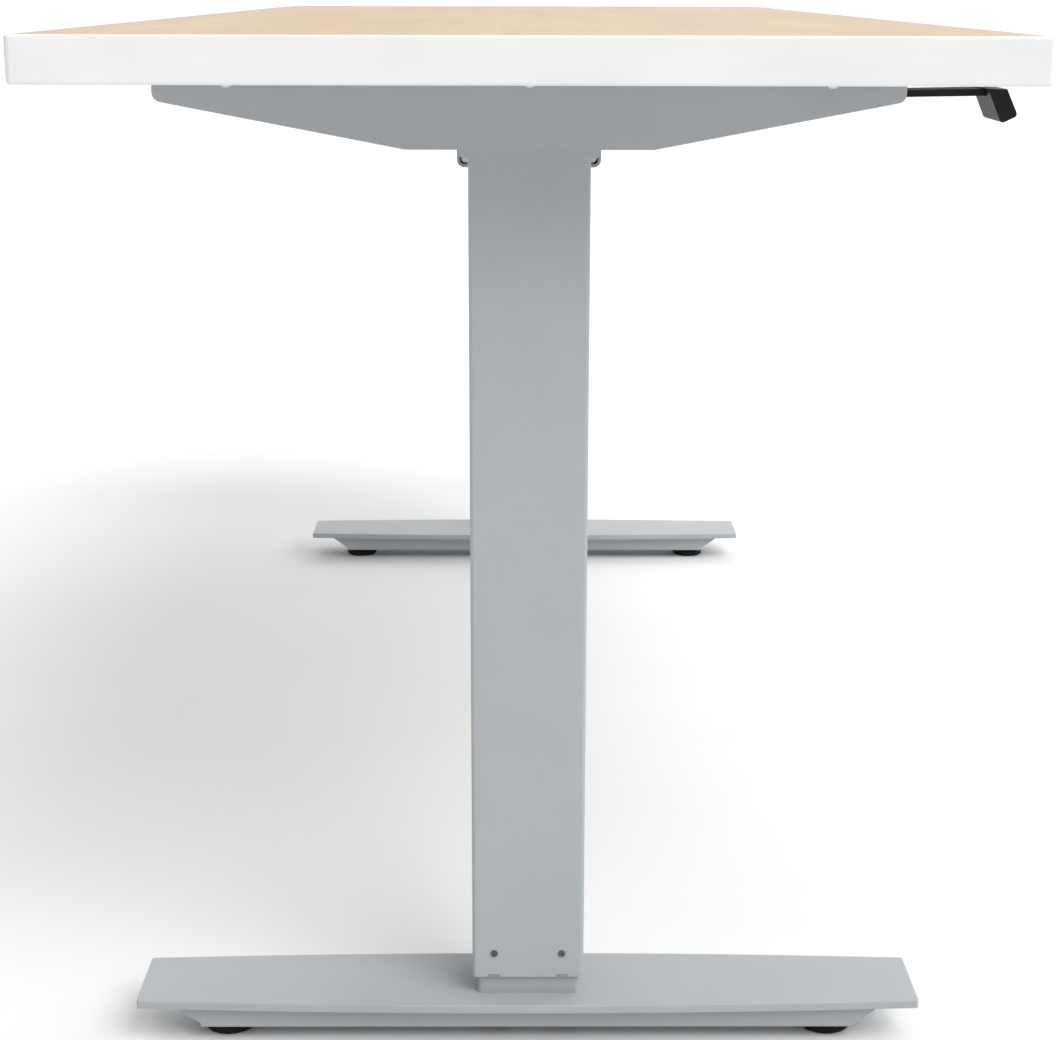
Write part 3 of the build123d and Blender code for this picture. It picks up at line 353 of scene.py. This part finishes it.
top_of_hex = node(
    glide_tree, "ShaderNodeMath", {0: given["Pad height"], 1: given["Hexagon height"]}, operation="ADD"
)
hexagon = prism(glide_tree, 6, given["Hexagon radius"], given["Hexagon height"], top_of_hex)
core = turned(glide_tree, [(0, 0), (0, 0.86), (0.93, 0.86), (1, 0.62), (1, 0)])
core = moved(glide_tree, core, z=top_of_hex, wide=given["Stud radius"], tall=given["Stud length"])
crest_r = times(glide_tree, given["Stud radius"], 0.87)
crest = thread(glide_tree, crest_r, given["Stud length"], given["Stud pitch"])
lift = node(glide_tree, "ShaderNodeMath", {0: top_of_hex, 1: given["Stud length"]}, operation="ADD")
stud = joined(glide_tree, core, moved(glide_tree, crest, z=lift, tall=0.97))
set_out(glide_tree, given, joined(
    glide_tree,
    painted(glide_tree, joined(glide_tree, pad, flutes, hexagon), black_nylon),
    painted(glide_tree, stud, zinc_plate),
))

for side in ("left", "right"):
    for end in ("front", "rear"):
        low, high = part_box(f"{side}_{end}_leveler")
        glide = grown(f"{side}_{end}_glide", glide_tree, {}, [(on_axis(low, high, low.z), UP)])
        fit(glide, f"{side}_{end}_foot", "black_nylon", f"{side}_{end}_leveler")

# ---------------------------------------------------------------- feet
# Each foot is a bowed steel plate on a shallow pressed channel with slanted ends, both powder
# coated silver grey. Nuts for the glides are welded inside, and four screws hold the column on.


def powder_coat(name, dark, light, roughness):
    """Baked polyester powder: faint orange peel, a satin sheen and very fine metallic flecks."""
    material, tree, shader, place = new_material(name, roughness)
    mottle = noise(tree, place, 14.0, 3.0)
    peel = noise(tree, place, 700.0, 2.0)
    fleck = node(tree, "ShaderNodeTexVoronoi", {"Vector": place, "Scale": 2400.0})
    grain = node(tree, "ShaderNodeMath", {0: fleck.outputs["Color"], 1: mottle}, operation="ADD")
    tint = blend_colours(tree, times(tree, grain, 0.5), dark, light, (0.2, 0.8))
    tree.links.new(tint.outputs[0], shader.inputs["Base Color"])
    vary(tree, shader, "Roughness", mottle, roughness - 0.05, roughness + 0.05)
    roughen(tree, shader, peel, 0.00004, 0.35)
    shader.inputs["Coat Weight"].default_value = 0.25
    shader.inputs["Coat Roughness"].default_value = 0.28
    return material


silver_powder = powder_coat("silver_powder", (0.350, 0.372, 0.391), (0.415, 0.440, 0.460), 0.45)
for side in ("left", "right"):
    finish(silver_powder, f"{side}_foot_plate", f"{side}_foot_channel")


def solids(name):
    """The (lowest corner, highest corner) of each separate solid in a CAD node, in order."""
    copy = bmesh.new()
    copy.from_mesh(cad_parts[name].data)
    bmesh.ops.remove_doubles(copy, verts=copy.verts, dist=0.000001)
    waiting = set(copy.verts)
    boxes = []
    while waiting:
        solid = [waiting.pop()]
        for corner in solid:
            for edge in corner.link_edges:
                other = edge.other_vert(corner)
                if other in waiting:
                    waiting.discard(other)
                    solid.append(other)
        boxes.append((
            Vector(min(v.co[i] for v in solid) for i in range(3)),
            Vector(max(v.co[i] for v in solid) for i in range(3)),
        ))
    copy.free()
    return sorted(boxes, key=lambda box: tuple(box[0]))


def head_seats(name, facing, head_h):
    """A place for each solid in a CAD node: on its axis, under a head of that height facing that way."""
    seats = []
    for low, high in solids(name):
        under_head = high.z - head_h if facing == UP else low.z + head_h
        seats.append((on_axis(low, high, under_head), facing))
    return seats


def screw_shape(name, head, recess, spin_seed, material, sizes):
    """A tree for a screw or bolt: a turned head with a cross or hexagon cut in it, on a threaded shank."""
    tree, given = new_shape(name, sizes)
    cap = moved(tree, turned(tree, head), wide=given["Head radius"], tall=given["Head height"])
    depth = given["Recess depth"]
    if recess == "hexagon":
        cuts = [prism(tree, 6, given["Recess size"], depth, given["Head height"])]
    else:
        narrow = times(tree, given["Recess size"], 0.24)
        spans = [(given["Recess size"], narrow), (narrow, given["Recess size"])]
        cuts = []
        for along, over in spans:
            extent = {"X": along, "Y": over, "Z": times(tree, depth, 2.0)}
            bar = node(tree, "GeometryNodeMeshCube", {"Size": node(tree, "ShaderNodeCombineXYZ", extent)})
            cuts.append(moved(tree, bar, z=given["Head height"]))
    for cut in cuts:
        cap = node(tree, "GeometryNodeMeshBoolean", {"Mesh 1": cap, "Mesh 2": cut}, operation="DIFFERENCE")
    shank = turned(tree, [(-1, 0), (-1, 0.35), (-0.94, 0.78), (0.02, 0.78), (0.02, 0)], 20)
    shank = moved(tree, shank, wide=given["Shank radius"], tall=given["Shank length"])
    ridge = thread(tree, times(tree, given["Shank radius"], 0.74), given["Shank length"], given["Pitch"])
    whole = joined(tree, cap, shank, moved(tree, ridge, tall=0.95))
    set_out(tree, given, painted(tree, whole, material), spin_seed)
    return tree


LOW_HEAD = [(0, 0), (0, 1), (0.75, 1), (0.93, 0.95), (1, 0.86), (1, 0)]
FOOT_BOLT_HEAD_H = 6.5 * MM
socket_bolt = screw_shape("foot_bolt", LOW_HEAD, "hexagon", 3, zinc_plate, {
    "Head radius": 6.5 * MM, "Head height": FOOT_BOLT_HEAD_H,
    "Recess size": 3.4 * MM, "Recess depth": 3.5 * MM,
    "Shank radius": 4.0 * MM, "Shank length": 18.0 * MM, "Pitch": 1.25 * MM,
})
nut_tree, given = new_shape("weld_nut", {"Radius": 7.5 * MM, "Height": 7.0 * MM, "Bore": 4.0 * MM})
blank = prism(nut_tree, 6, given["Radius"], given["Height"], given["Height"])
dome = node(nut_tree, "GeometryNodeMeshUVSphere", {
    "Segments": 48, "Rings": 24, "Radius": times(nut_tree, given["Radius"], 1.07),
})
dome = moved(nut_tree, dome, z=times(nut_tree, given["Height"], 0.5))
bore_depth = times(nut_tree, given["Height"], 2.0)
bore = prism(nut_tree, 32, given["Bore"], bore_depth, times(nut_tree, given["Height"], 1.5))
eased = node(nut_tree, "GeometryNodeMeshBoolean", {1: blank}, operation="INTERSECT")
nut_tree.links.new(dome.outputs[0], eased.inputs[1])
pierced = node(nut_tree, "GeometryNodeMeshBoolean", {0: eased, 1: bore}, operation="DIFFERENCE")
set_out(nut_tree, given, painted(nut_tree, pierced, zinc_plate))

for side in ("left", "right"):
    leg = f"{side}_leg"
    bolt_seats = head_seats(f"{side}_foot_bolts", DOWN, FOOT_BOLT_HEAD_H)
    bolts = grown(f"{side}_column_bolts", socket_bolt, {}, bolt_seats)
    fit(bolts, leg, "zinc_steel", f"{side}_foot_bolts")
    nut_seats = [(on_axis(low, high, low.z), UP) for low, high in solids(f"{side}_weld_nuts")]
    fit(grown(f"{side}_glide_nuts", nut_tree, {}, nut_seats), leg, "zinc_steel", f"{side}_weld_nuts")

# ---------------------------------------------------------------- columns
# Two square steel tubes slide in each other on nylon glides. The outer one hangs from the frame,
# is notched at its lower edge for the collar's tabs, and small screws hold the collar in it.
white_nylon = moulded_plastic("white_nylon", (0.62, 0.62, 0.60), (0.70, 0.70, 0.68), 0.38)
grey_nylon = moulded_plastic("grey_nylon", (0.25, 0.26, 0.27), (0.31, 0.32, 0.33), 0.42)
COLLAR_HEAD_H = 1.1 * MM
gunmetal = plated_steel("gunmetal", (0.10, 0.105, 0.11), (0.17, 0.175, 0.18), 0.40)
small_screw = screw_shape("collar_screw", LOW_HEAD, "cross", 11, gunmetal, {
    "Head radius": 2.5 * MM, "Head height": COLLAR_HEAD_H,
    "Recess size": 2.6 * MM, "Recess depth": 0.7 * MM,
    "Shank radius": 1.45 * MM, "Shank length": 2.8 * MM, "Pitch": 0.7 * MM,
})
tube_low, tube_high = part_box("left_outer_tube")
collar_seats = []
for low, high in solids("glide_screws"):
    middle = (low + high) / 2
    leg_x = math.copysign((tube_low.x + tube_high.x) / 2, middle.x)
    outward = math.copysign(1, middle.x - leg_x)
    seat_x = (high.x if outward > 0 else low.x) - outward * COLLAR_HEAD_H
    collar_seats.append((Vector((seat_x, middle.y, middle.z)), (outward, 0, 0)))
fit(grown("collar_screws", small_screw, {}, collar_seats), "top", "zinc_steel", "glide_screws")
for side in ("left", "right"):
    finish(silver_powder, f"{side}_outer_tube", f"{side}_inner_tube")
    finish(grey_nylon, f"{side}_lower_glides")
    finish(white_nylon, f"{side}_upper_glides", f"{side}_spindle_nut")

# ---------------------------------------------------------------- spindles
# A rolled steel screw with four starts turns in each column and drives its nut up and down.
# It hangs by a plain journal in a ball bearing under the column's head plate.
bright_steel = plated_steel(
    "bright_steel", (0.55, 0.55, 0.55), (0.72, 0.72, 0.71), 0.24, (1.0, 1.0, 0.05)
)
spindle_tree, given = new_shape("lifting_spindle", {
    "Radius": 7.0 * MM, "Journal radius": 5.95 * MM, "Threaded length": 551.0 * MM,
    "Journal length": 40.0 * MM, "Lead": 16.0 * MM, "Starts": 4,
})
rod = turned(spindle_tree, [(0, 0), (0, 0.7), (0.004, 0.84), (1, 0.84), (1, 0)], 40)
rod = moved(spindle_tree, rod, wide=given["Radius"], tall=given["Threaded length"])
journal = turned(spindle_tree, [(0, 0), (0, 1), (0.96, 1), (1, 0.9), (1, 0)], 40)
journal = moved(
    spindle_tree, journal,
    z=given["Threaded length"], wide=given["Journal radius"], tall=given["Journal length"],
)
wraps = node(
    spindle_tree, "ShaderNodeMath", {0: given["Threaded length"], 1: given["Lead"]}, operation="DIVIDE"
)
path_r = times(spindle_tree, given["Radius"], 0.86)
winding = node(spindle_tree, "GeometryNodeCurveSpiral", {
    "Resolution": 18, "Rotations": wraps, "Start Radius": path_r, "End Radius": path_r,
    "Height": given["Threaded length"],
})
land = node(spindle_tree, "GeometryNodeCurvePrimitiveCircle", {
    "Resolution": 4, "Radius": times(spindle_tree, given["Radius"], 0.135),
})
one_start = node(
    spindle_tree, "GeometryNodeCurveToMesh", {"Curve": winding, "Profile Curve": land, "Fill Caps": True}
)
start_points = node(spindle_tree, "GeometryNodeMeshLine", {"Count": given["Starts"], "Offset": (0, 0, 0)})
start_angle = node(
    spindle_tree, "ShaderNodeMath", {0: math.tau, 1: given["Starts"]}, operation="DIVIDE"
)
index = node(spindle_tree, "GeometryNodeInputIndex")
start_turn = node(spindle_tree, "FunctionNodeAxisAngleToRotation", {
    "Axis": (0, 0, 1), "Angle": times(spindle_tree, index, start_angle),
})
starts = node(
    spindle_tree, "GeometryNodeInstanceOnPoints",
    {"Points": start_points, "Instance": one_start, "Rotation": start_turn},
)
set_out(spindle_tree, given, painted(spindle_tree, joined(spindle_tree, rod, journal, starts), bright_steel))
for side in ("left", "right"):
    low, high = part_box(f"{side}_spindle")
    spindle = grown(f"{side}_lifting_spindle", spindle_tree, {}, [(on_axis(low, high, low.z), UP)])
    fit(spindle, f"{side}_screw", "bright_steel", f"{side}_spindle")
    finish(bright_steel, f"{side}_spindle_bearing")

# ---------------------------------------------------------------- motors and gearboxes
# A right-angle gearbox sits on each column inside the frame, bolted down through the head plate,
# and a motor in a black coated can reaches from it towards the middle of the desk.


def cast_metal(name, dark, light, roughness):
    """Die-cast alloy with a dull, slightly pitted skin."""
    material, tree, shader, place = new_material(name, roughness, 1.0)
    cloud = noise(tree, place, 60.0, 5.0)
    pits = node(tree, "ShaderNodeTexVoronoi", {"Vector": place, "Scale": 520.0})
    tint = blend_colours(tree, cloud, dark, light)
    tree.links.new(tint.outputs[0], shader.inputs["Base Color"])
    vary(tree, shader, "Roughness", cloud, roughness - 0.08, roughness + 0.08)
    roughen(tree, shader, pits.outputs["Distance"], 0.00006, 0.4)
    return material


cast_alloy = cast_metal("cast_alloy", (0.42, 0.43, 0.44), (0.55, 0.56, 0.57), 0.52)
motor_can = powder_coat("motor_can", (0.018, 0.018, 0.020), (0.034, 0.034, 0.036), 0.36)
black_oxide = plated_steel("black_oxide", (0.035, 0.035, 0.038), (0.075, 0.075, 0.078), 0.42)
lead_jacket = moulded_plastic(
    "lead_jacket", (0.014, 0.014, 0.015), (0.026, 0.026, 0.027), 0.5, 0.00003, 900.0
)
FLANGE_BOLT_HEAD_H = 6.0 * MM
flange_bolt = screw_shape("flange_bolt", LOW_HEAD, "hexagon", 17, black_oxide, {
    "Head radius": 5.0 * MM, "Head height": FLANGE_BOLT_HEAD_H,
    "Recess size": 2.8 * MM, "Recess depth": 3.0 * MM,
    "Shank radius": 3.0 * MM, "Shank length": 22.0 * MM, "Pitch": 1.0 * MM,
})
for side in ("left", "right"):
    finish(cast_alloy, f"{side}_gearbox")
    finish(motor_can, f"{side}_motor")
    finish(lead_jacket, f"{side}_motor_lead")
    flange_seats = head_seats(f"{side}_head_bolts", UP, FLANGE_BOLT_HEAD_H)
    flange_bolts = grown(f"{side}_flange_bolts", flange_bolt, {}, flange_seats)
    fit(flange_bolts, "top", "black_steel", f"{side}_head_bolts")

# ---------------------------------------------------------------- crossbar and end rails
# A deep folded channel joins the legs, and a lighter channel slides in each end of it up to the
# column. Button-head bolts lock them together at the width of the desk, on plastic spacers.
BUTTON_HEAD_H = 3.2 * MM
button_bolt = screw_shape(
    "rail_bolt", [(0, 0), (0, 1), (0.3, 1), (0.62, 0.92), (0.86, 0.74), (1, 0.5), (1, 0)],
    "hexagon", 5, black_oxide, {
        "Head radius": 5.5 * MM, "Head height": BUTTON_HEAD_H,
        "Recess size": 2.4 * MM, "Recess depth": 2.0 * MM,
        "Shank radius": 3.0 * MM, "Shank length": 12.0 * MM, "Pitch": 1.0 * MM,
    },
)
rail_seats = []
for low, high in solids("rail_bolts"):
    middle = (low + high) / 2
    outward = math.copysign(1, middle.y)
    seat_y = outward * (max(abs(low.y), abs(high.y)) - BUTTON_HEAD_H)
    rail_seats.append((Vector((middle.x, seat_y, middle.z)), (0, outward, 0)))
fit(grown("frame_bolts", button_bolt, {}, rail_seats), "top", "black_steel", "rail_bolts")
finish(silver_powder, "crossbar", "left_end_rail", "right_end_rail")
finish(white_nylon, "crossbar_spacers")

# ---------------------------------------------------------------- arms
# A pressed steel arm runs across the desktop at each end of the frame and carries it. It tapers
# to its tips, and three pan-head wood screws go up through its flange into the board.
finish(silver_powder, "left_arm", "right_arm")
PAN_HEAD = [(0, 0), (0, 1), (0.32, 1), (0.62, 0.95), (0.84, 0.82), (0.96, 0.62), (1, 0.4), (1, 0)]
ARM_SCREW_HEAD_H = 3.4 * MM
pan_screw = screw_shape("arm_screw", PAN_HEAD, "cross", 7, zinc_plate, {
    "Head radius": 4.3 * MM, "Head height": ARM_SCREW_HEAD_H,
    "Recess size": 4.6 * MM, "Recess depth": 1.6 * MM,
    "Shank radius": 2.4 * MM, "Shank length": 19.5 * MM, "Pitch": 1.8 * MM,
})
arm_seats = head_seats("arm_screws", DOWN, ARM_SCREW_HEAD_H)
fit(grown("desktop_screws", pan_screw, {}, arm_seats), "top", "zinc_steel", "arm_screws")

# ---------------------------------------------------------------- desktop
# A chipboard core between a printed maple laminate above and a plain balancing sheet below. A
# thick white plastic band is glued round its edge and rounded over.


def maple_print(name):
    """Printed maple: long straight fibres, slow waves of colour and short pale flecks, under satin."""
    material, tree, shader, place = new_material(name, 0.42)
    bands = noise(tree, place, 9.0, 4.0, (0.16, 1.0, 1.0))
    figure = noise(tree, place, 42.0, 5.0, (0.08, 1.0, 1.0))
    fibre = noise(tree, place, 420.0, 3.0, (0.03, 1.0, 1.0))
    flecks = noise(tree, place, 260.0, 1.0, (0.12, 1.0, 1.0))
    base = blend_colours(tree, bands, (0.500, 0.340, 0.195), (0.575, 0.420, 0.258), (0.30, 0.70))
    grain = blend_colours(tree, figure, (0.90, 0.885, 0.865), (1.04, 1.045, 1.05), (0.25, 0.75))
    lines = blend_colours(tree, fibre, (0.94, 0.93, 0.92), (1.02, 1.02, 1.02), (0.3, 0.7))
    specks = blend_colours(tree, flecks, (0.93, 0.91, 0.89), (1.0, 1.0, 1.0), (0.28, 0.36))
    colour = base.outputs[0]
    for layer in (grain, lines, specks):
        mixed = node(tree, "ShaderNodeMix", data_type="RGBA", blend_type="MULTIPLY")
        mixed.inputs[0].default_value = 1.0
        tree.links.new(colour, mixed.inputs[6])
        tree.links.new(layer.outputs[0], mixed.inputs[7])
        colour = mixed.outputs[2]
    tree.links.new(colour, shader.inputs["Base Color"])
    vary(tree, shader, "Roughness", figure, 0.38, 0.48)
    roughen(tree, shader, fibre, 0.00002, 0.5)
    return material


def chipboard(name):
    """Pressed wood chips: flat flakes of several tones with dark gaps between them."""
    material, tree, shader, place = new_material(name, 0.85)
    flattened = node(tree, "ShaderNodeMapping", {"Vector": place, "Scale": (1.0, 1.0, 3.0)})
    flakes = node(tree, "ShaderNodeTexVoronoi", {"Vector": flattened, "Scale": 260.0})
    tones = flakes.outputs["Color"]
    tint = blend_colours(tree, tones, (0.33, 0.21, 0.11), (0.62, 0.45, 0.27), (0.1, 0.9))
    tree.links.new(tint.outputs[0], shader.inputs["Base Color"])
    roughen(tree, shader, flakes.outputs["Distance"], 0.0004, 0.7)
    return material


def balancing_sheet(name):
    """Resin-soaked backing paper: an even pale grey with fine fibres in it."""
    material, tree, shader, place = new_material(name, 0.6)
    fibres = noise(tree, place, 380.0, 4.0, (0.3, 1.0, 1.0))
    cloud = noise(tree, place, 6.0, 3.0)
    mixed = times(tree, node(tree, "ShaderNodeMath", {0: fibres, 1: cloud}, operation="ADD"), 0.5)
    tint = blend_colours(tree, mixed, (0.50, 0.49, 0.47), (0.60, 0.59, 0.57))
    tree.links.new(tint.outputs[0], shader.inputs["Base Color"])
    roughen(tree, shader, fibres, 0.00003, 0.4)
    return material


finish(maple_print("maple_laminate_print"), "desktop_laminate")
finish(chipboard("pressed_chipboard"), "desktop_core")
finish(balancing_sheet("backing_paper"), "desktop_backer")
white_band = moulded_plastic("white_band", (0.78, 0.78, 0.78), (0.81, 0.81, 0.81), 0.36, 0.00002, 1100.0)
finish(white_band, "edge_band")

# ---------------------------------------------------------------- control box
# A flat two-part plastic case screwed under the desktop's rear half holds the power supply and
# motor control on one board. Its mains inlet is at the left end.
case_plastic = moulded_plastic(
    "case_plastic", (0.016, 0.016, 0.017), (0.030, 0.030, 0.031), 0.48, 0.00005, 1300.0
)
gloss_plastic = moulded_plastic(
    "gloss_plastic", (0.010, 0.010, 0.010), (0.016, 0.016, 0.016), 0.22, 0.000005
)


def board_lacquer(name):
    """A green lacquered board: the copper tracks show as paler lines under the lacquer."""
    material, tree, shader, place = new_material(name, 0.35)
    tracks = node(tree, "ShaderNodeTexBrick", {
        "Vector": place, "Scale": 160.0, "Mortar Size": 0.06, "Mortar": (0.05, 0.27, 0.12, 1.0),
        "Color1": (0.012, 0.10, 0.045, 1.0), "Color2": (0.015, 0.13, 0.055, 1.0),
    })
    tree.links.new(tracks.outputs["Color"], shader.inputs["Base Color"])
    roughen(tree, shader, tracks.outputs["Fac"], 0.00003, 0.6)
    return material


finish(case_plastic, "control_box_base", "control_box_lid")
finish(gloss_plastic, "mains_inlet")
finish(board_lacquer("board_lacquer"), "control_board")
CASE_SCREW_HEAD_H = 2.8 * MM
case_screw = screw_shape("case_screw", PAN_HEAD, "cross", 13, black_oxide, {
    "Head radius": 4.0 * MM, "Head height": CASE_SCREW_HEAD_H,
    "Recess size": 4.0 * MM, "Recess depth": 1.4 * MM,
    "Shank radius": 2.2 * MM, "Shank length": 17.0 * MM, "Pitch": 1.6 * MM,
})
case_seats = head_seats("ear_screws", DOWN, CASE_SCREW_HEAD_H)
fit(grown("case_screws", case_screw, {}, case_seats), "top", "black_steel", "ear_screws")

# ---------------------------------------------------------------- paddle control
# A black plastic lever under the front edge tips on a steel pin in its housing. A push up or
# down on its slanted grip closes one of two switches, and a coil spring brings it back.
paddle_plastic = moulded_plastic(
    "paddle_plastic", (0.004, 0.004, 0.0042), (0.008, 0.008, 0.0083), 0.44, 0.00006, 1000.0, 0.2
)
finish(case_plastic, "paddle_housing")
finish(paddle_plastic, "paddle_lever", "paddle_grip")
finish(bright_steel, "paddle_pin")
finish(gloss_plastic, "paddle_switches")
finish(lead_jacket, "paddle_lead")
WIRE_R = 0.45 * MM
spring_tree, given = new_shape("return_spring", {
    "Coil radius": 3.7 * MM, "Wire radius": WIRE_R, "Turns": 2.5, "Length": 3.0 * MM,
})
coil = node(spring_tree, "GeometryNodeCurveSpiral", {
    "Resolution": 40, "Rotations": given["Turns"], "Start Radius": given["Coil radius"],
    "End Radius": given["Coil radius"], "Height": given["Length"],
})
wire = node(spring_tree, "GeometryNodeCurvePrimitiveCircle", {
    "Resolution": 12, "Radius": given["Wire radius"],
})
wound = node(spring_tree, "GeometryNodeCurveToMesh", {
    "Curve": coil, "Profile Curve": wire, "Fill Caps": True,
})
set_out(spring_tree, given, painted(spring_tree, wound, bright_steel))
low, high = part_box("paddle_spring")
spring_foot = Vector((low.x + WIRE_R, (low.y + high.y) / 2, (low.z + high.z) / 2))
spring = grown("return_spring", spring_tree, {}, [(spring_foot, (1, 0, 0))])
fit(spring, "top", "bright_steel", "paddle_spring")

# ---------------------------------------------------------------- lead clips
# Small black nylon clips stick to the underside of the desktop. Each is a thin square pad with a
# sprung ring below it, open at one side, that a lead is pressed into.
CLIP_STEM_W = 3.0 * MM
clip_tree, given = new_shape("lead_clip", {
    "Pad width": 12.0 * MM, "Pad thickness": 1.2 * MM, "Ring radius": 3.0 * MM, "Ring length": 7.0 * MM,
    "Ring thickness": 1.1 * MM, "Ring drop": 5.0 * MM,
})
pad_size = node(clip_tree, "ShaderNodeCombineXYZ", {
    "X": given["Pad width"], "Y": given["Pad width"], "Z": given["Pad thickness"],
})
clip_pad = node(clip_tree, "GeometryNodeMeshCube", {"Size": pad_size})
clip_pad = moved(clip_tree, clip_pad, z=times(clip_tree, given["Pad thickness"], 0.5))
ring_r = node(clip_tree, "ShaderNodeMath", {
    0: given["Ring radius"], 1: times(clip_tree, given["Ring thickness"], 0.5),
}, operation="ADD")
ring_arc = node(clip_tree, "GeometryNodeCurveArc", {
    "Resolution": 28, "Radius": ring_r, "Start Angle": math.radians(260), "Sweep Angle": math.radians(300),
})
strip = node(clip_tree, "GeometryNodeCurvePrimitiveQuadrilateral", {
    "Width": given["Ring thickness"], "Height": given["Ring length"],
})
sprung_ring = node(clip_tree, "GeometryNodeCurveToMesh", {
    "Curve": ring_arc, "Profile Curve": strip, "Fill Caps": True,
})
sprung_ring = node(clip_tree, "GeometryNodeTransform", {
    "Geometry": sprung_ring, "Rotation": (0, math.radians(90), 0),
})
sprung_ring = moved(clip_tree, sprung_ring, z=given["Ring drop"])
stem_h = node(clip_tree, "ShaderNodeMath", {0: given["Ring drop"], 1: ring_r}, operation="SUBTRACT")
stem_size = node(clip_tree, "ShaderNodeCombineXYZ", {
    "X": given["Ring length"], "Y": CLIP_STEM_W, "Z": stem_h,
})
stem = node(clip_tree, "GeometryNodeMeshCube", {"Size": stem_size})
stem = moved(clip_tree, stem, z=times(clip_tree, stem_h, 0.5))
set_out(clip_tree, given, painted(clip_tree, joined(clip_tree, clip_pad, stem, sprung_ring), black_nylon))

BELOW_LEAD = 1.6 * MM
SAME_HEIGHT = 0.3 * MM
RING_CLEARANCE = 0.05 * MM
for name, lead in (("motor_lead_clips", "left_motor_lead"), ("paddle_lead_clips", "paddle_lead")):
    lead_low, lead_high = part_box(lead)
    around = [
        (low, high) for low, high in solids("lead_clips")
        if abs(lead_low.z - low.z - BELOW_LEAD) < SAME_HEIGHT
    ]
    sizes = {
        "Ring radius": (lead_high.z - lead_low.z) / 2 + RING_CLEARANCE,
        "Ring drop": around[0][1].z - (lead_high.z + lead_low.z) / 2,
    }
    seats = [(on_axis(low, high, high.z), DOWN) for low, high in around]
    fit(grown(name, clip_tree, sizes, seats), "top", "black_nylon", "lead_clips")
